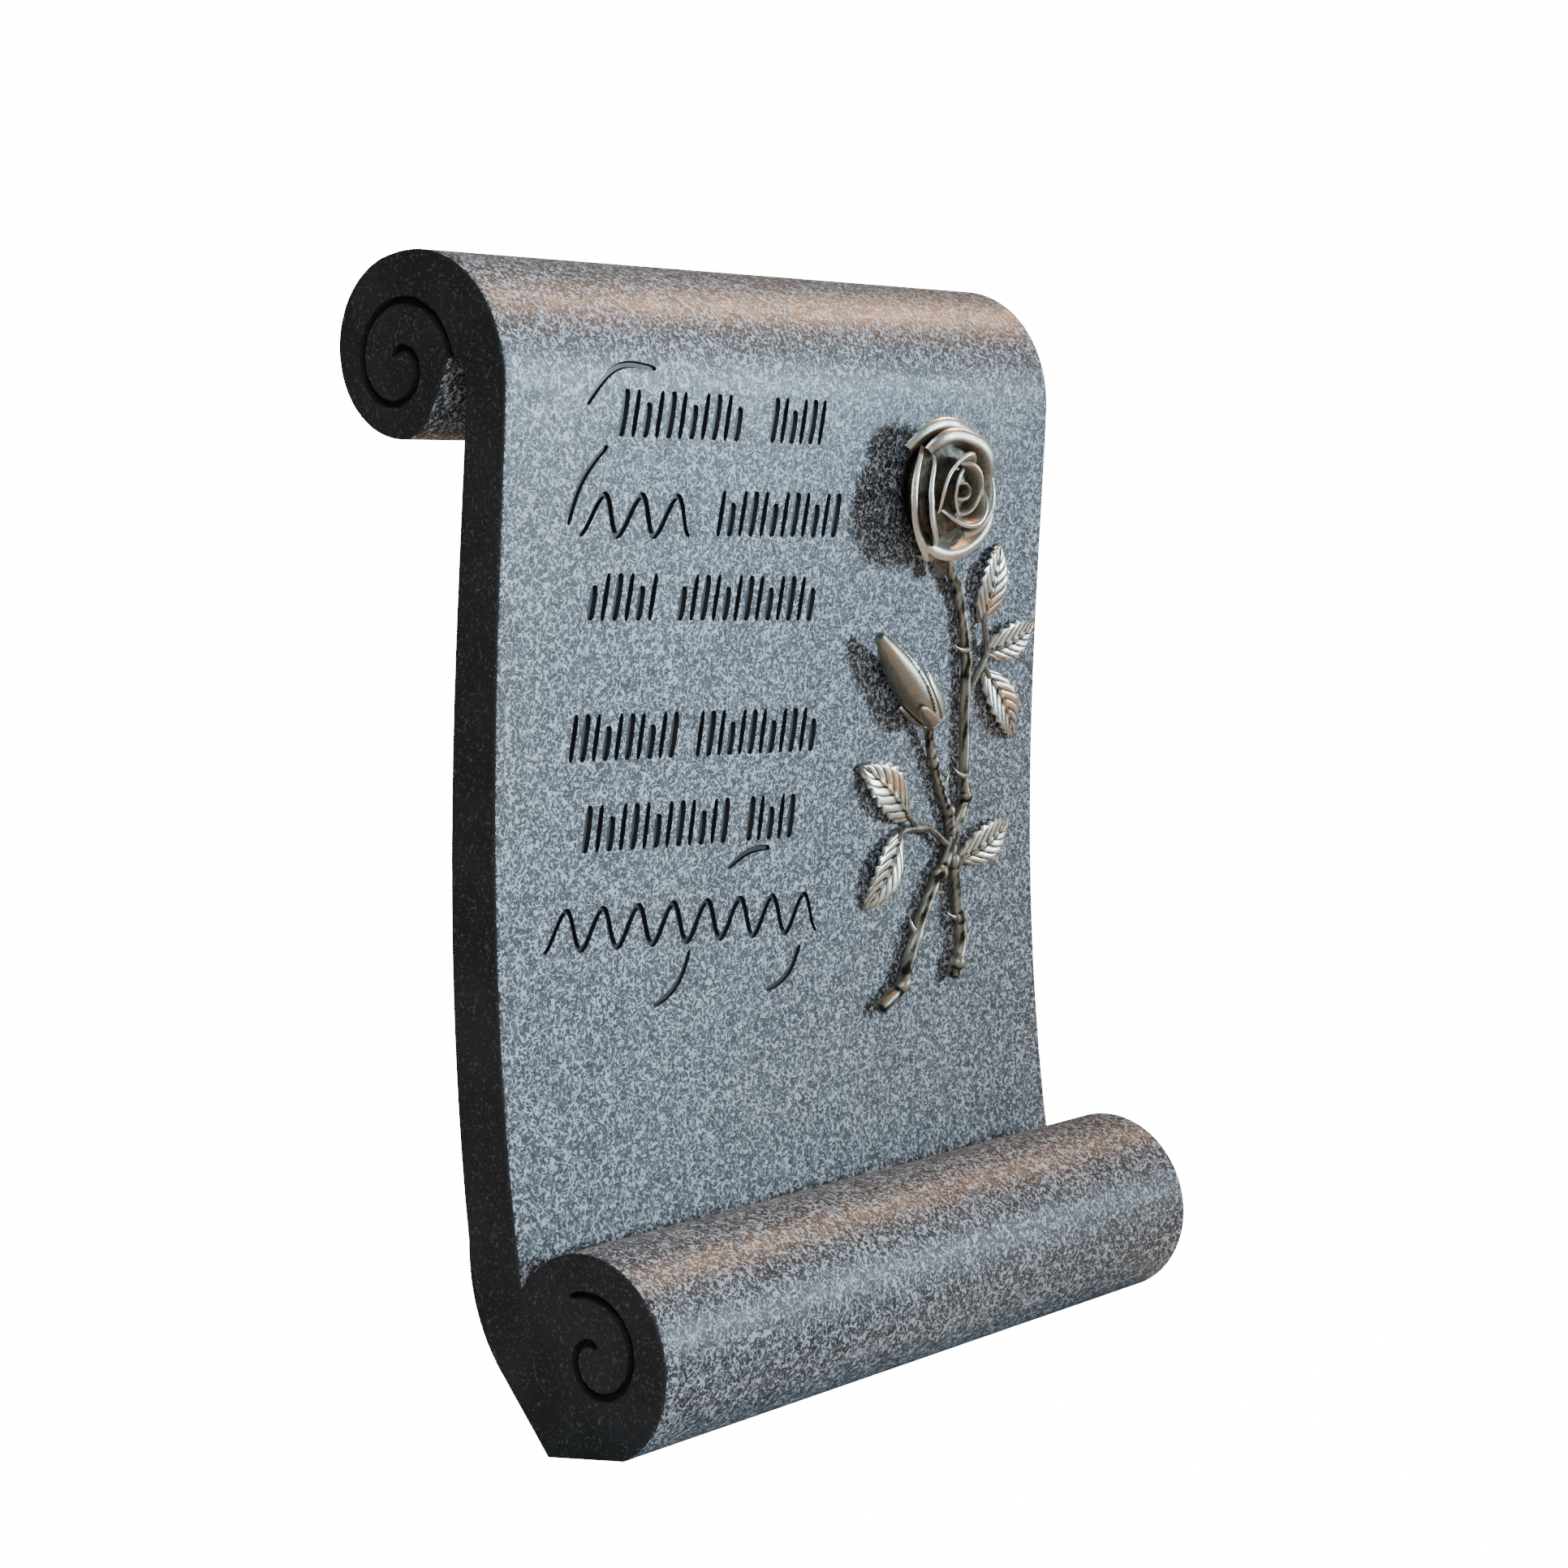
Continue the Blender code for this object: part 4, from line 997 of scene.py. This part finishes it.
@dataclass
class RoseSpray:
    """The raised spray: two crossing stems, leaves, an open rose and a bud, above the sheet."""

    form: ScrollForm
    from_right: float = 0.0361
    rise: float = 0.0935
    seat: float = 0.0003
    stem_radius: float = 0.0017
    stem_top_radius: float = 0.0011
    stem_sides: int = 20
    twig_radius: float = 0.0008
    thorn_length: float = 0.0044
    thorn_radius: float = 0.0011
    leaf_teeth: float = 8.0
    leaf_veins: float = 7.0
    leaf_rib: float = 0.0006
    leaf_quilt: float = 0.0002
    bloom_radius: float = 0.0168
    bloom_lift: float = 0.0140
    bloom_centre: tuple = (-0.0136, 0.0846)
    petals: tuple = (
        Petal(192.0, 116.0, 0.62, 0.96, 0.74, 0.055),
        Petal(85.0, 124.0, 0.62, 0.95, 0.66, 0.075),
        Petal(-70.0, 126.0, 0.62, 0.98, 0.72, 0.055),
        Petal(192.0, 106.0, 0.50, 0.79, 0.92, 0.035),
        Petal(62.0, 156.0, 0.50, 0.75, 0.90, 0.13),
        Petal(-18.0, 104.0, 0.48, 0.73, 0.92, 0.03),
        Petal(130.0, 168.0, 0.34, 0.52, 1.01, 0.02),
        Petal(-65.0, 150.0, 0.34, 0.51, 0.98, 0.02),
        Petal(-5.0, 205.0, 0.20, 0.35, 1.00, 0.012),
        Petal(175.0, 190.0, 0.20, 0.32, 1.00, 0.012),
        Petal(20.0, 270.0, 0.07, 0.12, 0.97, 0.006),
    )
    petal_thickness: float = 0.0008
    petal_foot: float = 0.16
    bud_radius: float = 0.0047
    bud_foot: tuple = (-0.0125, 0.0298)
    bud_tip: tuple = (-0.0338, 0.0503)
    main_stem: tuple = (
        (-0.0302, -0.0388), (-0.0214, -0.0334), (-0.0149, -0.0224), (-0.0084, -0.0122),
        (-0.0030, -0.0058), (0.0026, 0.0038), (0.0053, 0.0086), (0.0049, 0.0145),
        (0.0049, 0.0316), (0.0044, 0.0455), (0.0025, 0.0535), (0.0001, 0.0595),
        (-0.0045, 0.0655), (-0.0105, 0.0745),
    )
    bud_stem: tuple = (
        (-0.0014, -0.0345), (0.0026, -0.0263), (0.0021, -0.0202), (0.0011, -0.0121),
        (0.0000, -0.0020), (-0.0007, 0.0050), (-0.0046, 0.0123), (-0.0081, 0.0205),
        (-0.0125, 0.0300),
    )
    twigs: tuple = (
        ((0.0085, 0.0385), (0.0120, 0.0425), (0.0125, 0.0470)),
        ((0.0046, 0.0330), (0.0085, 0.0385), (0.0115, 0.0425)),
        ((0.0085, 0.0385), (0.0106, 0.0412)),
        ((-0.0005, -0.0030), (-0.0090, 0.0026), (-0.0140, 0.0034)),
        ((-0.0090, 0.0026), (-0.0150, 0.0030)),
        ((0.0004, -0.0105), (0.0020, -0.0085)),
    )
    leaves: tuple = (
        ((0.0113, 0.0517), (0.0174, 0.0710), 0.0115),
        ((0.0129, 0.0443), (0.0332, 0.0510), 0.0095),
        ((0.0128, 0.0403), (0.0259, 0.0226), 0.0110),
        ((-0.0161, 0.0053), (-0.0345, 0.0196), 0.0120),
        ((-0.0193, 0.0027), (-0.0331, -0.0148), 0.0105),
        ((0.0040, -0.0062), (0.0243, 0.0021), 0.0100),
    )

    def lifted(self, flat: np.ndarray, lift: np.ndarray) -> np.ndarray:
        """Return spray points, given flat from the stems' crossing, lifted off the sheet."""
        x, z = self.form.width / 2 - self.from_right + flat[..., 0], self.rise + flat[..., 1]
        return self.form.lifted(x, z, lift, self.form.sheet_front)

    def stem(self, knots: tuple, top_lift: float, seed: int, radii: tuple) -> Form:
        """Return a stem whose radius falls evenly, swells at its knots and wavers a little.

        Args:
            knots: Points of the stem from the crossing.
            top_lift: How much its end rises to the flower.
            seed: Seed of its unevenness.
            radii: Radius at its foot and its top.

        Returns:
            The stem's form.
        """
        flat = smooth_path(np.array(knots), 14)
        share = np.linspace(0.0, 1.0, len(flat))
        radius = radii[0] + (radii[1] - radii[0]) * share
        knot = np.abs(((share * 5.0 + 0.13 * seed) % 1.0) - 0.5)
        radius = radius * (1.0 + 0.22 * np.exp(-(knot / 0.055) ** 2))
        turn = np.arange(self.stem_sides)[None] / self.stem_sides
        round_part = np.sin(math.tau * turn)
        waver = ripple(share[:, None] * 3.0 + round_part * 0.08, 20 + seed)
        ridges = np.sin(math.tau * (turn * 4.0 + share[:, None] * 2.0))
        uneven = radius[:, None] * (1.0 + 0.07 * waver + 0.035 * ridges)
        neck = np.clip((share - 0.83) / 0.17, 0.0, 1.0)
        path = self.lifted(flat, self.seat + radius * 1.10 + top_lift * neck ** 2)
        shade = 0.52 + 0.20 * round_part + 0.22 * waver + 0.14 * ridges
        shade = shade - 0.28 * np.exp(-((knot - 0.10) / 0.03) ** 2)[:, None]
        return tube_form(path, uneven, shade, self.stem_sides)

    def twig(self, knots: tuple, leaf: tuple) -> Form:
        """Return a thin stalk that runs into the foot of its leaf."""
        foot, tip = np.array(leaf[0]), np.array(leaf[1])
        flat = smooth_path(np.vstack((np.array(knots), foot, foot + (tip - foot) * 0.12)), 8)
        share = np.linspace(0.0, 1.0, len(flat))
        radii = self.twig_radius * (1.15 - 0.35 * share[:, None])
        path = self.lifted(flat, np.full(len(flat), self.seat + self.stem_radius))
        return tube_form(path, radii, 0.5 + 0.25 * round_shine(12), 12)

    def thorn(self, knots: tuple, index: int, way: float) -> Form:
        """Return a thorn: a cone bent towards the stem's top, on one flank of it."""
        here = np.array(knots[index])
        ahead = np.array(knots[index + 1]) - here
        ahead /= np.linalg.norm(ahead)
        share = np.linspace(0.0, 1.0, 9)[:, None]
        flat = here + (crosswise(ahead) * way * share + ahead * 0.5 * share ** 2) * self.thorn_length
        radii = self.thorn_radius * (1.0 - share) ** 1.2 + 0.00008
        path = self.lifted(flat, np.full(len(share), self.seat + self.stem_radius * 1.12))
        return tube_form(path, radii, 0.55 + 0.35 * share, 10)

    def leaf(self, foot: tuple, tip: tuple, width: float, seed: int) -> Form:
        """Return a toothed leaf with a rib and quilted halves between its side veins.

        The half width is w/2 sin(pi u^0.8)^0.75, cut back by a saw of eight teeth, and the height
        adds an arch sin(pi u), a quilt |sin(pi n (u - 0.3|v|))|^0.6 and a thin rib.

        Args:
            foot: Foot of the blade from the crossing.
            tip: Tip of the blade.
            width: Full width.
            seed: Seed of its unevenness.

        Returns:
            The leaf's form.
        """
        start, along = np.array(foot), np.array(tip) - np.array(foot)
        across = crosswise(along)
        u = np.linspace(0.0, 1.0, 131)[:, None]
        v = np.linspace(-1.0, 1.0, 37)[None, :]
        saw = (u * self.leaf_teeth) % 1.0
        edge = np.sin(math.pi * np.clip(u, 0.004, 0.996) ** 0.8) ** 0.75
        half = width / 2 * edge * (1.0 - 0.20 * saw * np.abs(v) ** 3)
        sweep = 0.045 * np.abs(v) * np.sin(math.pi * u) + 0.035 * (1.0 - saw) * np.abs(v) ** 4 * edge
        bend = 0.06 * np.sin(math.pi * u) * (1 if seed % 2 else -1)
        flat = (start + along * np.clip(u + sweep, 0.0, 1.0)[..., None]
                + across * (half * v + bend * width)[..., None])
        wave = np.abs(np.sin(math.pi * self.leaf_veins * (u - 0.26 * np.abs(v))))
        vein = np.exp(-(wave / 0.30) ** 2) * (np.abs(v) < 0.97)
        rib = np.exp(-(v / 0.075) ** 2) * (1.0 - 0.6 * u)
        relief = self.leaf_quilt * wave ** 0.6 * (1.0 - np.abs(v) ** 4) * edge + self.leaf_rib * rib
        base = self.seat + (0.0010 + 0.0012 * np.abs(v) ** 1.4) * np.sin(math.pi * u)
        front = self.lifted(flat, base + relief + 0.0013 - 0.0007 * np.abs(v) ** 3)
        back = self.lifted(flat, base)
        uneven = ripple(u * 2.0 + v * 0.7, 40 + seed)
        seam = np.exp(-((np.abs(v) - 0.13) / 0.05) ** 2)
        shade = 0.74 - 0.85 * vein - 0.50 * seam + 0.20 * rib + 0.15 * np.abs(v) ** 6 + 0.12 * uneven
        return sheet_form(front, back, shade)

    def petal(self, petal: Petal, seed: int) -> Form:
        """Return one petal, rising from its foot and rolled outwards along its rim.

        Its radius is foot + (rim - foot) t^0.8 + wrap v, its lift a quarter sine of t, and past the
        shoulder the rim turns over on a small circle of the roll's radius.

        Args:
            petal: The petal's sizes, as shares of the bloom's radius and lift.
            seed: Seed of its unevenness.

        Returns:
            The petal's form.
        """
        t = np.linspace(0.0, 1.0, 33)[:, None]
        v = np.linspace(-1.0, 1.0, 41)[None, :]
        angle = math.radians(petal.middle) + math.radians(petal.spread) / 2 * v
        wave = ripple(v * 0.25, 60 + seed, 1)
        reach = petal.foot + (petal.rim - petal.foot) * t ** 0.8 + 0.09 * v * petal.rim
        reach = reach + 0.022 * wave * t ** 2
        edge = (petal.lift - petal.droop * np.abs(v) ** 3.2 + petal.notch * (1.0 - np.abs(v)) ** 3
                + 0.02 * wave)
        lift = self.petal_foot + (edge - self.petal_foot) * np.sin(math.pi / 2 * t) ** 0.9
        over = np.clip((t - 0.80) / 0.20, 0.0, 1.0)
        roll = petal.roll * (1.0 - 0.5 * v ** 2)
        reach = reach + roll * np.sin(math.pi / 2 * over)
        lift = (lift - roll * 0.9 * (1.0 - np.cos(math.pi / 2 * over))) * self.bloom_lift
        centre = np.array(self.bloom_centre)
        ray = np.stack((np.cos(angle), np.sin(angle)), axis=-1)
        thin = self.petal_thickness * (1.0 - 0.35 * t)
        outer = np.maximum(reach * self.bloom_radius, 0.0006)
        inner = np.maximum(outer - thin, 0.0002)
        front = self.lifted(centre + ray * inner[..., None], lift + 0.3 * thin * over)
        back = self.lifted(centre + ray * outer[..., None], lift - 0.3 * thin * over)
        bright = np.exp(-((1.0 - t) / 0.09) ** 2)
        sides = np.exp(-((1.0 - np.abs(v)) / 0.04) ** 2)
        veins = 0.05 * np.sin(math.tau * 9.0 * v + 2.0 * wave)
        shade = 0.36 + 0.16 * t ** 1.5 + 0.50 * bright + 0.20 * sides * t + veins * t
        return sheet_form(front, back, shade)

    def bloom(self) -> list[Form]:
        """Return the open rose: a cup, three broad outer petals, inner ones and a small curled heart."""
        return [self.cup()] + [self.petal(petal, seed) for seed, petal in enumerate(self.petals)]

    def cup(self) -> Form:
        """Return the cup that carries the petals and domes up between them, round an axis off the sheet."""
        lifts = np.array((0.06, 0.10, 0.20, 0.36, 0.50, 0.62, 0.72, 0.78, 0.80))
        shares = np.array((0.38, 0.50, 0.70, 0.80, 0.78, 0.68, 0.50, 0.28, 0.05))
        centre = np.array(self.bloom_centre)
        path = self.lifted(np.repeat(centre[None], len(lifts), axis=0), lifts * self.bloom_lift)
        shade = 0.06 + 0.20 * (lifts[:, None] > 0.4)
        return tube_form(path, self.bloom_radius * shares[:, None], shade, 40)

    def receptacle(self) -> list[Form]:
        """Return the swollen end of the stem under the bloom and its pointed sepals."""
        start, end = np.array((-0.0085, 0.0640)), np.array((-0.0145, 0.0745))
        share = np.linspace(0.0, 1.0, 15)[:, None]
        flat = start + (end - start) * share
        radii = 0.0012 + 0.0016 * np.sin(math.pi * share ** 1.3 * 0.75)
        path = self.lifted(flat, 0.0030 + 0.0025 * share[:, 0])
        middle = start + (end - start) * 0.5
        tips = np.array(((-0.0205, 0.0690), (-0.0105, 0.0765), (-0.0180, 0.0790)))
        sepals = [self.sepal(middle, tip, 0.0036, 0.0050, 80 + number) for number, tip in enumerate(tips)]
        return [tube_form(path, radii, 0.45 + 0.25 * round_shine(20), 20)] + sepals

    def sepal(self, foot: np.ndarray, tip: np.ndarray, width: float, lift: float, seed: int) -> Form:
        """Return a small pointed blade: half width w/2 sin(pi u^0.7), arched across and along."""
        along = tip - foot
        across = crosswise(along)
        u = np.linspace(0.0, 1.0, 25)[:, None]
        v = np.linspace(-1.0, 1.0, 9)[None, :]
        half = width / 2 * np.sin(math.pi * np.clip(u, 0.02, 0.985) ** 0.7)
        flat = foot + along * u[..., None] + across * (half * v)[..., None]
        height = lift + 0.0008 * np.sin(math.pi * u) - 0.0010 * v ** 2
        front = self.lifted(flat, height)
        back = self.lifted(flat, height - 0.0005)
        return sheet_form(front, back, 0.40 + 0.35 * np.abs(v) ** 3 + 0.2 * u + 0.1 * ripple(u + v, seed))

    def bud_swell(self, share: np.ndarray) -> np.ndarray:
        """Return the bud's radius along it: R sin(pi (0.12 + 0.83 s^0.66))^0.7."""
        return self.bud_radius * np.sin(math.pi * (0.12 + 0.83 * np.clip(share, 0.0, 1.0) ** 0.66)) ** 0.7

    def on_bud(self, share: np.ndarray, angle: np.ndarray, radius: np.ndarray) -> np.ndarray:
        """Return places round the bud's axis, at an angle from its outward side."""
        foot, tip = np.array(self.bud_foot), np.array(self.bud_tip)
        aside = crosswise(tip - foot) * (radius * np.sin(angle))[..., None]
        flat = foot + (tip - foot) * share[..., None] + aside
        return self.lifted(flat, self.seat + self.bud_radius + radius * np.cos(angle))

    def bud_sepal(self, middle: float, reach: float, spread: float) -> Form:
        """Return a sepal that hugs the bud: its half angle is spread (1 - u^1.8)^0.6.

        Args:
            middle: Its middle angle from the bud's outward side, in degrees.
            reach: How far up the bud it goes, as a share of the bud's length.
            spread: Its half angle at its foot, in degrees.

        Returns:
            The sepal's form.
        """
        u = np.linspace(0.0, 1.0, 29)[:, None]
        v = np.linspace(-1.0, 1.0, 17)[None, :]
        angle = math.radians(middle) + math.radians(spread) * v * (1.0 - 0.985 * u ** 1.8) ** 0.6
        share = reach * u
        radius = self.bud_swell(share) + 0.0002 + 0.0003 * u ** 2 * (1.0 - 0.6 * v ** 2)
        front = self.on_bud(share, angle, radius + 0.0005 * (1.0 - 0.5 * v ** 2))
        back = self.on_bud(share, angle, radius - 0.0002)
        shade = 0.42 + 0.45 * np.abs(v) ** 4 + 0.25 * u ** 3 + 0.12 * np.exp(-(v / 0.12) ** 2)
        return sheet_form(front, back, shade)

    def bud(self) -> list[Form]:
        """Return the bud: petals wound round each other, drawn to a blunt point, and its sepals.

        The bud's radius is raised by a saw that winds round it, so its petals overlap as long steps.

        Returns:
            The forms of the bud and its sepals.
        """
        share = np.linspace(0.0, 1.0, 61)[:, None]
        turn = (np.arange(96) / 96)[None, :]
        saw = (turn * 2.0 + share * 0.55 + 0.30) % 1.0
        radii = self.bud_swell(share) * (0.92 + 0.09 * saw ** 2.0)
        axis = np.array(self.bud_foot) + (np.array(self.bud_tip) - np.array(self.bud_foot)) * share
        path = self.lifted(axis, np.full(61, self.seat + self.bud_radius))
        shade = (0.44 + 0.12 * saw - 0.34 * np.exp(-(saw / 0.05) ** 2)
                 + 0.45 * np.exp(-((1.0 - saw) / 0.05) ** 2))
        sepals = ((40.0, 0.46, 40.0), (-46.0, 0.30, 28.0), (116.0, 0.36, 24.0), (-112.0, 0.32, 24.0))
        return [tube_form(path, radii, shade, 96)] + [self.bud_sepal(*sepal) for sepal in sepals]

    def build(self, finish: bpy.types.Material) -> list[bpy.types.Object]:
        """Build the spray as four pieces and dress them.

        Args:
            finish: The pewter material.

        Returns:
            The stems, the leaves, the rose and the bud.
        """
        radii = (self.stem_radius, self.stem_top_radius)
        stems = [self.stem(self.main_stem, self.bloom_lift * 0.2, 1, radii),
                 self.stem(self.bud_stem, self.bud_radius / 2, 2, radii)]
        stems += [self.twig(knots, leaf) for knots, leaf in zip(self.twigs, self.leaves)]
        places = ((self.main_stem, 1, 1.0), (self.main_stem, 2, -1.0), (self.main_stem, 3, 1.0),
                  (self.main_stem, 7, -1.0), (self.main_stem, 9, -1.0), (self.bud_stem, 1, 1.0),
                  (self.bud_stem, 2, -1.0), (self.bud_stem, 6, 1.0))
        stems += [self.thorn(*place) for place in places]
        leaves = [self.leaf(*leaf, seed) for seed, leaf in enumerate(self.leaves)]
        parts = {"spray_stems": stems, "spray_leaves": leaves,
                 "spray_rose": self.bloom() + self.receptacle(), "spray_bud": self.bud()}
        pieces = []
        for name, forms in parts.items():
            piece = add_piece(name, merged(forms), METAL_SHARP)
            piece.data.materials.append(finish)
            pieces.append(piece)
        return pieces


@dataclass
class Studio:
    """A pale floor, soft lights and the camera at the photograph's place."""

    camera_place: tuple = (-0.55041, -0.46224, 0.12891)
    ahead: tuple = (0.76193, 0.64763, 0.00658)
    right: tuple = (0.64365, -0.75603, -0.11889)
    up: tuple = (0.07202, -0.09482, 0.99289)
    lens: float = 72.09
    sky: float = 0.18
    backdrop: float = 16.0
    floor_glow: float = 15.6
    floor_reach: float = 6.0
    lights: tuple = (
        ("window", (0.94, -0.98, 0.24), (-0.16, 0.0, 0.20), 0.30, 0.72, (0.62, 0.82, 1.0), 22.0),
        ("lamp", (0.90, -0.20, 1.0), (0.02, 0.0, 0.22), 0.12, 4.0, (1.0, 0.58, 0.32), 120.0),
        ("front_fill", (-0.60, -0.80, 0.50), (-0.10, 0.0, 0.12), 0.6, 1.5, (0.76, 0.90, 1.0), 100.0),
    )

    def camera(self) -> None:
        """Make the camera: its axes are the given right and up, and it looks along ahead."""
        data = bpy.data.cameras.new("camera")
        data.sensor_width = 36.0
        data.lens = self.lens
        data.clip_start = 0.01
        camera = placed("camera", data)
        axes = Matrix((self.right, self.up, tuple(-v for v in self.ahead))).transposed()
        camera.matrix_world = Matrix.Translation(self.camera_place) @ axes.to_4x4()
        bpy.context.scene.camera = camera

    def floor(self) -> None:
        """Make the pale floor."""
        reach = self.floor_reach
        mesh = bpy.data.meshes.new("floor")
        mesh.from_pydata([(-reach, -reach, 0.0), (reach, -reach, 0.0), (reach, reach, 0.0),
                          (-reach, reach, 0.0)], [], [(0, 1, 2, 3)])
        floor = placed("floor", mesh)
        make = Finish("pale_floor")
        glow = make.math("MULTIPLY", make.camera_share(), self.floor_glow)
        floor.data.materials.append(make.dressed(
            Base_Color=(0.86, 0.86, 0.86, 1.0), Roughness=0.9,
            Emission_Color=(1.0, 1.0, 1.0, 1.0), Emission_Strength=glow))

    def light(self, name: str, place: tuple, aim: tuple, size: float, power: float, colour: tuple,
              spread: float) -> None:
        """Make one square area light.

        Args:
            name: The light's name.
            place: Where it hangs.
            aim: What it points at.
            size: Length of its side.
            power: Its power in watts.
            colour: Its colour.
            spread: How wide it shines, in degrees.
        """
        data = bpy.data.lights.new(name, "AREA")
        data.spread = math.radians(spread)
        data.size = size
        data.energy = power
        data.color = colour
        light = placed(name, data)
        light.location = place
        light.rotation_euler = (Vector(aim) - Vector(place)).to_track_quat("-Z", "Y").to_euler()

    def build(self) -> None:
        """Set up the world, the floor, the lights and the camera."""
        world = bpy.data.worlds.new("studio")
        bpy.context.scene.world = world
        world.use_nodes = True
        make = Nodes(world.node_tree)
        strength = make.add("ShaderNodeMapRange", Value=make.camera_share(), To_Min=self.sky,
                            To_Max=self.backdrop).outputs[0]
        make.feed(world.node_tree.nodes["Background"], Color=(1.0, 1.0, 1.0, 1.0), Strength=strength)
        self.floor()
        for light in self.lights:
            self.light(*light)
        self.camera()


def main() -> None:
    """Build the plaque's pieces in order, dress them and set the stage."""
    logging.basicConfig(level=logging.INFO, format="%(name)s: %(message)s")
    Studio().build()
    flecks, grain = fleck_group(), grain_group()
    form = ScrollForm()
    # The groove floors get a darker copy of the side material: painted shade in the grooves.
    groove_painted_shade = StoneSide("stone_groove_painted_shade", (0.004, 0.004, 0.0045, 1.0), (0.02, 0.02, 0.02, 1.0), 0.8)
    finishes = {Surface.FACE: StoneFace().make(flecks, grain),
                Surface.SIDE: StoneSide().make(flecks, grain),
                Surface.STROKE: StrokePaint().make(grain),
                Surface.GROOVE: groove_painted_shade.make(flecks, grain)}
    scroll = Scroll(form).build(finishes)
    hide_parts("scroll_body")
    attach(scroll, "root")
    LOG.info("scroll: %d faces", len(scroll.data.polygons))
    spray = RoseSpray(form).build(Pewter().make(grain))
    for piece in spray:
        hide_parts("rose_spray")
        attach(piece, "root")
        LOG.info("%s: %d faces", piece.name, len(piece.data.polygons))


if __name__ == "__main__":
    main()
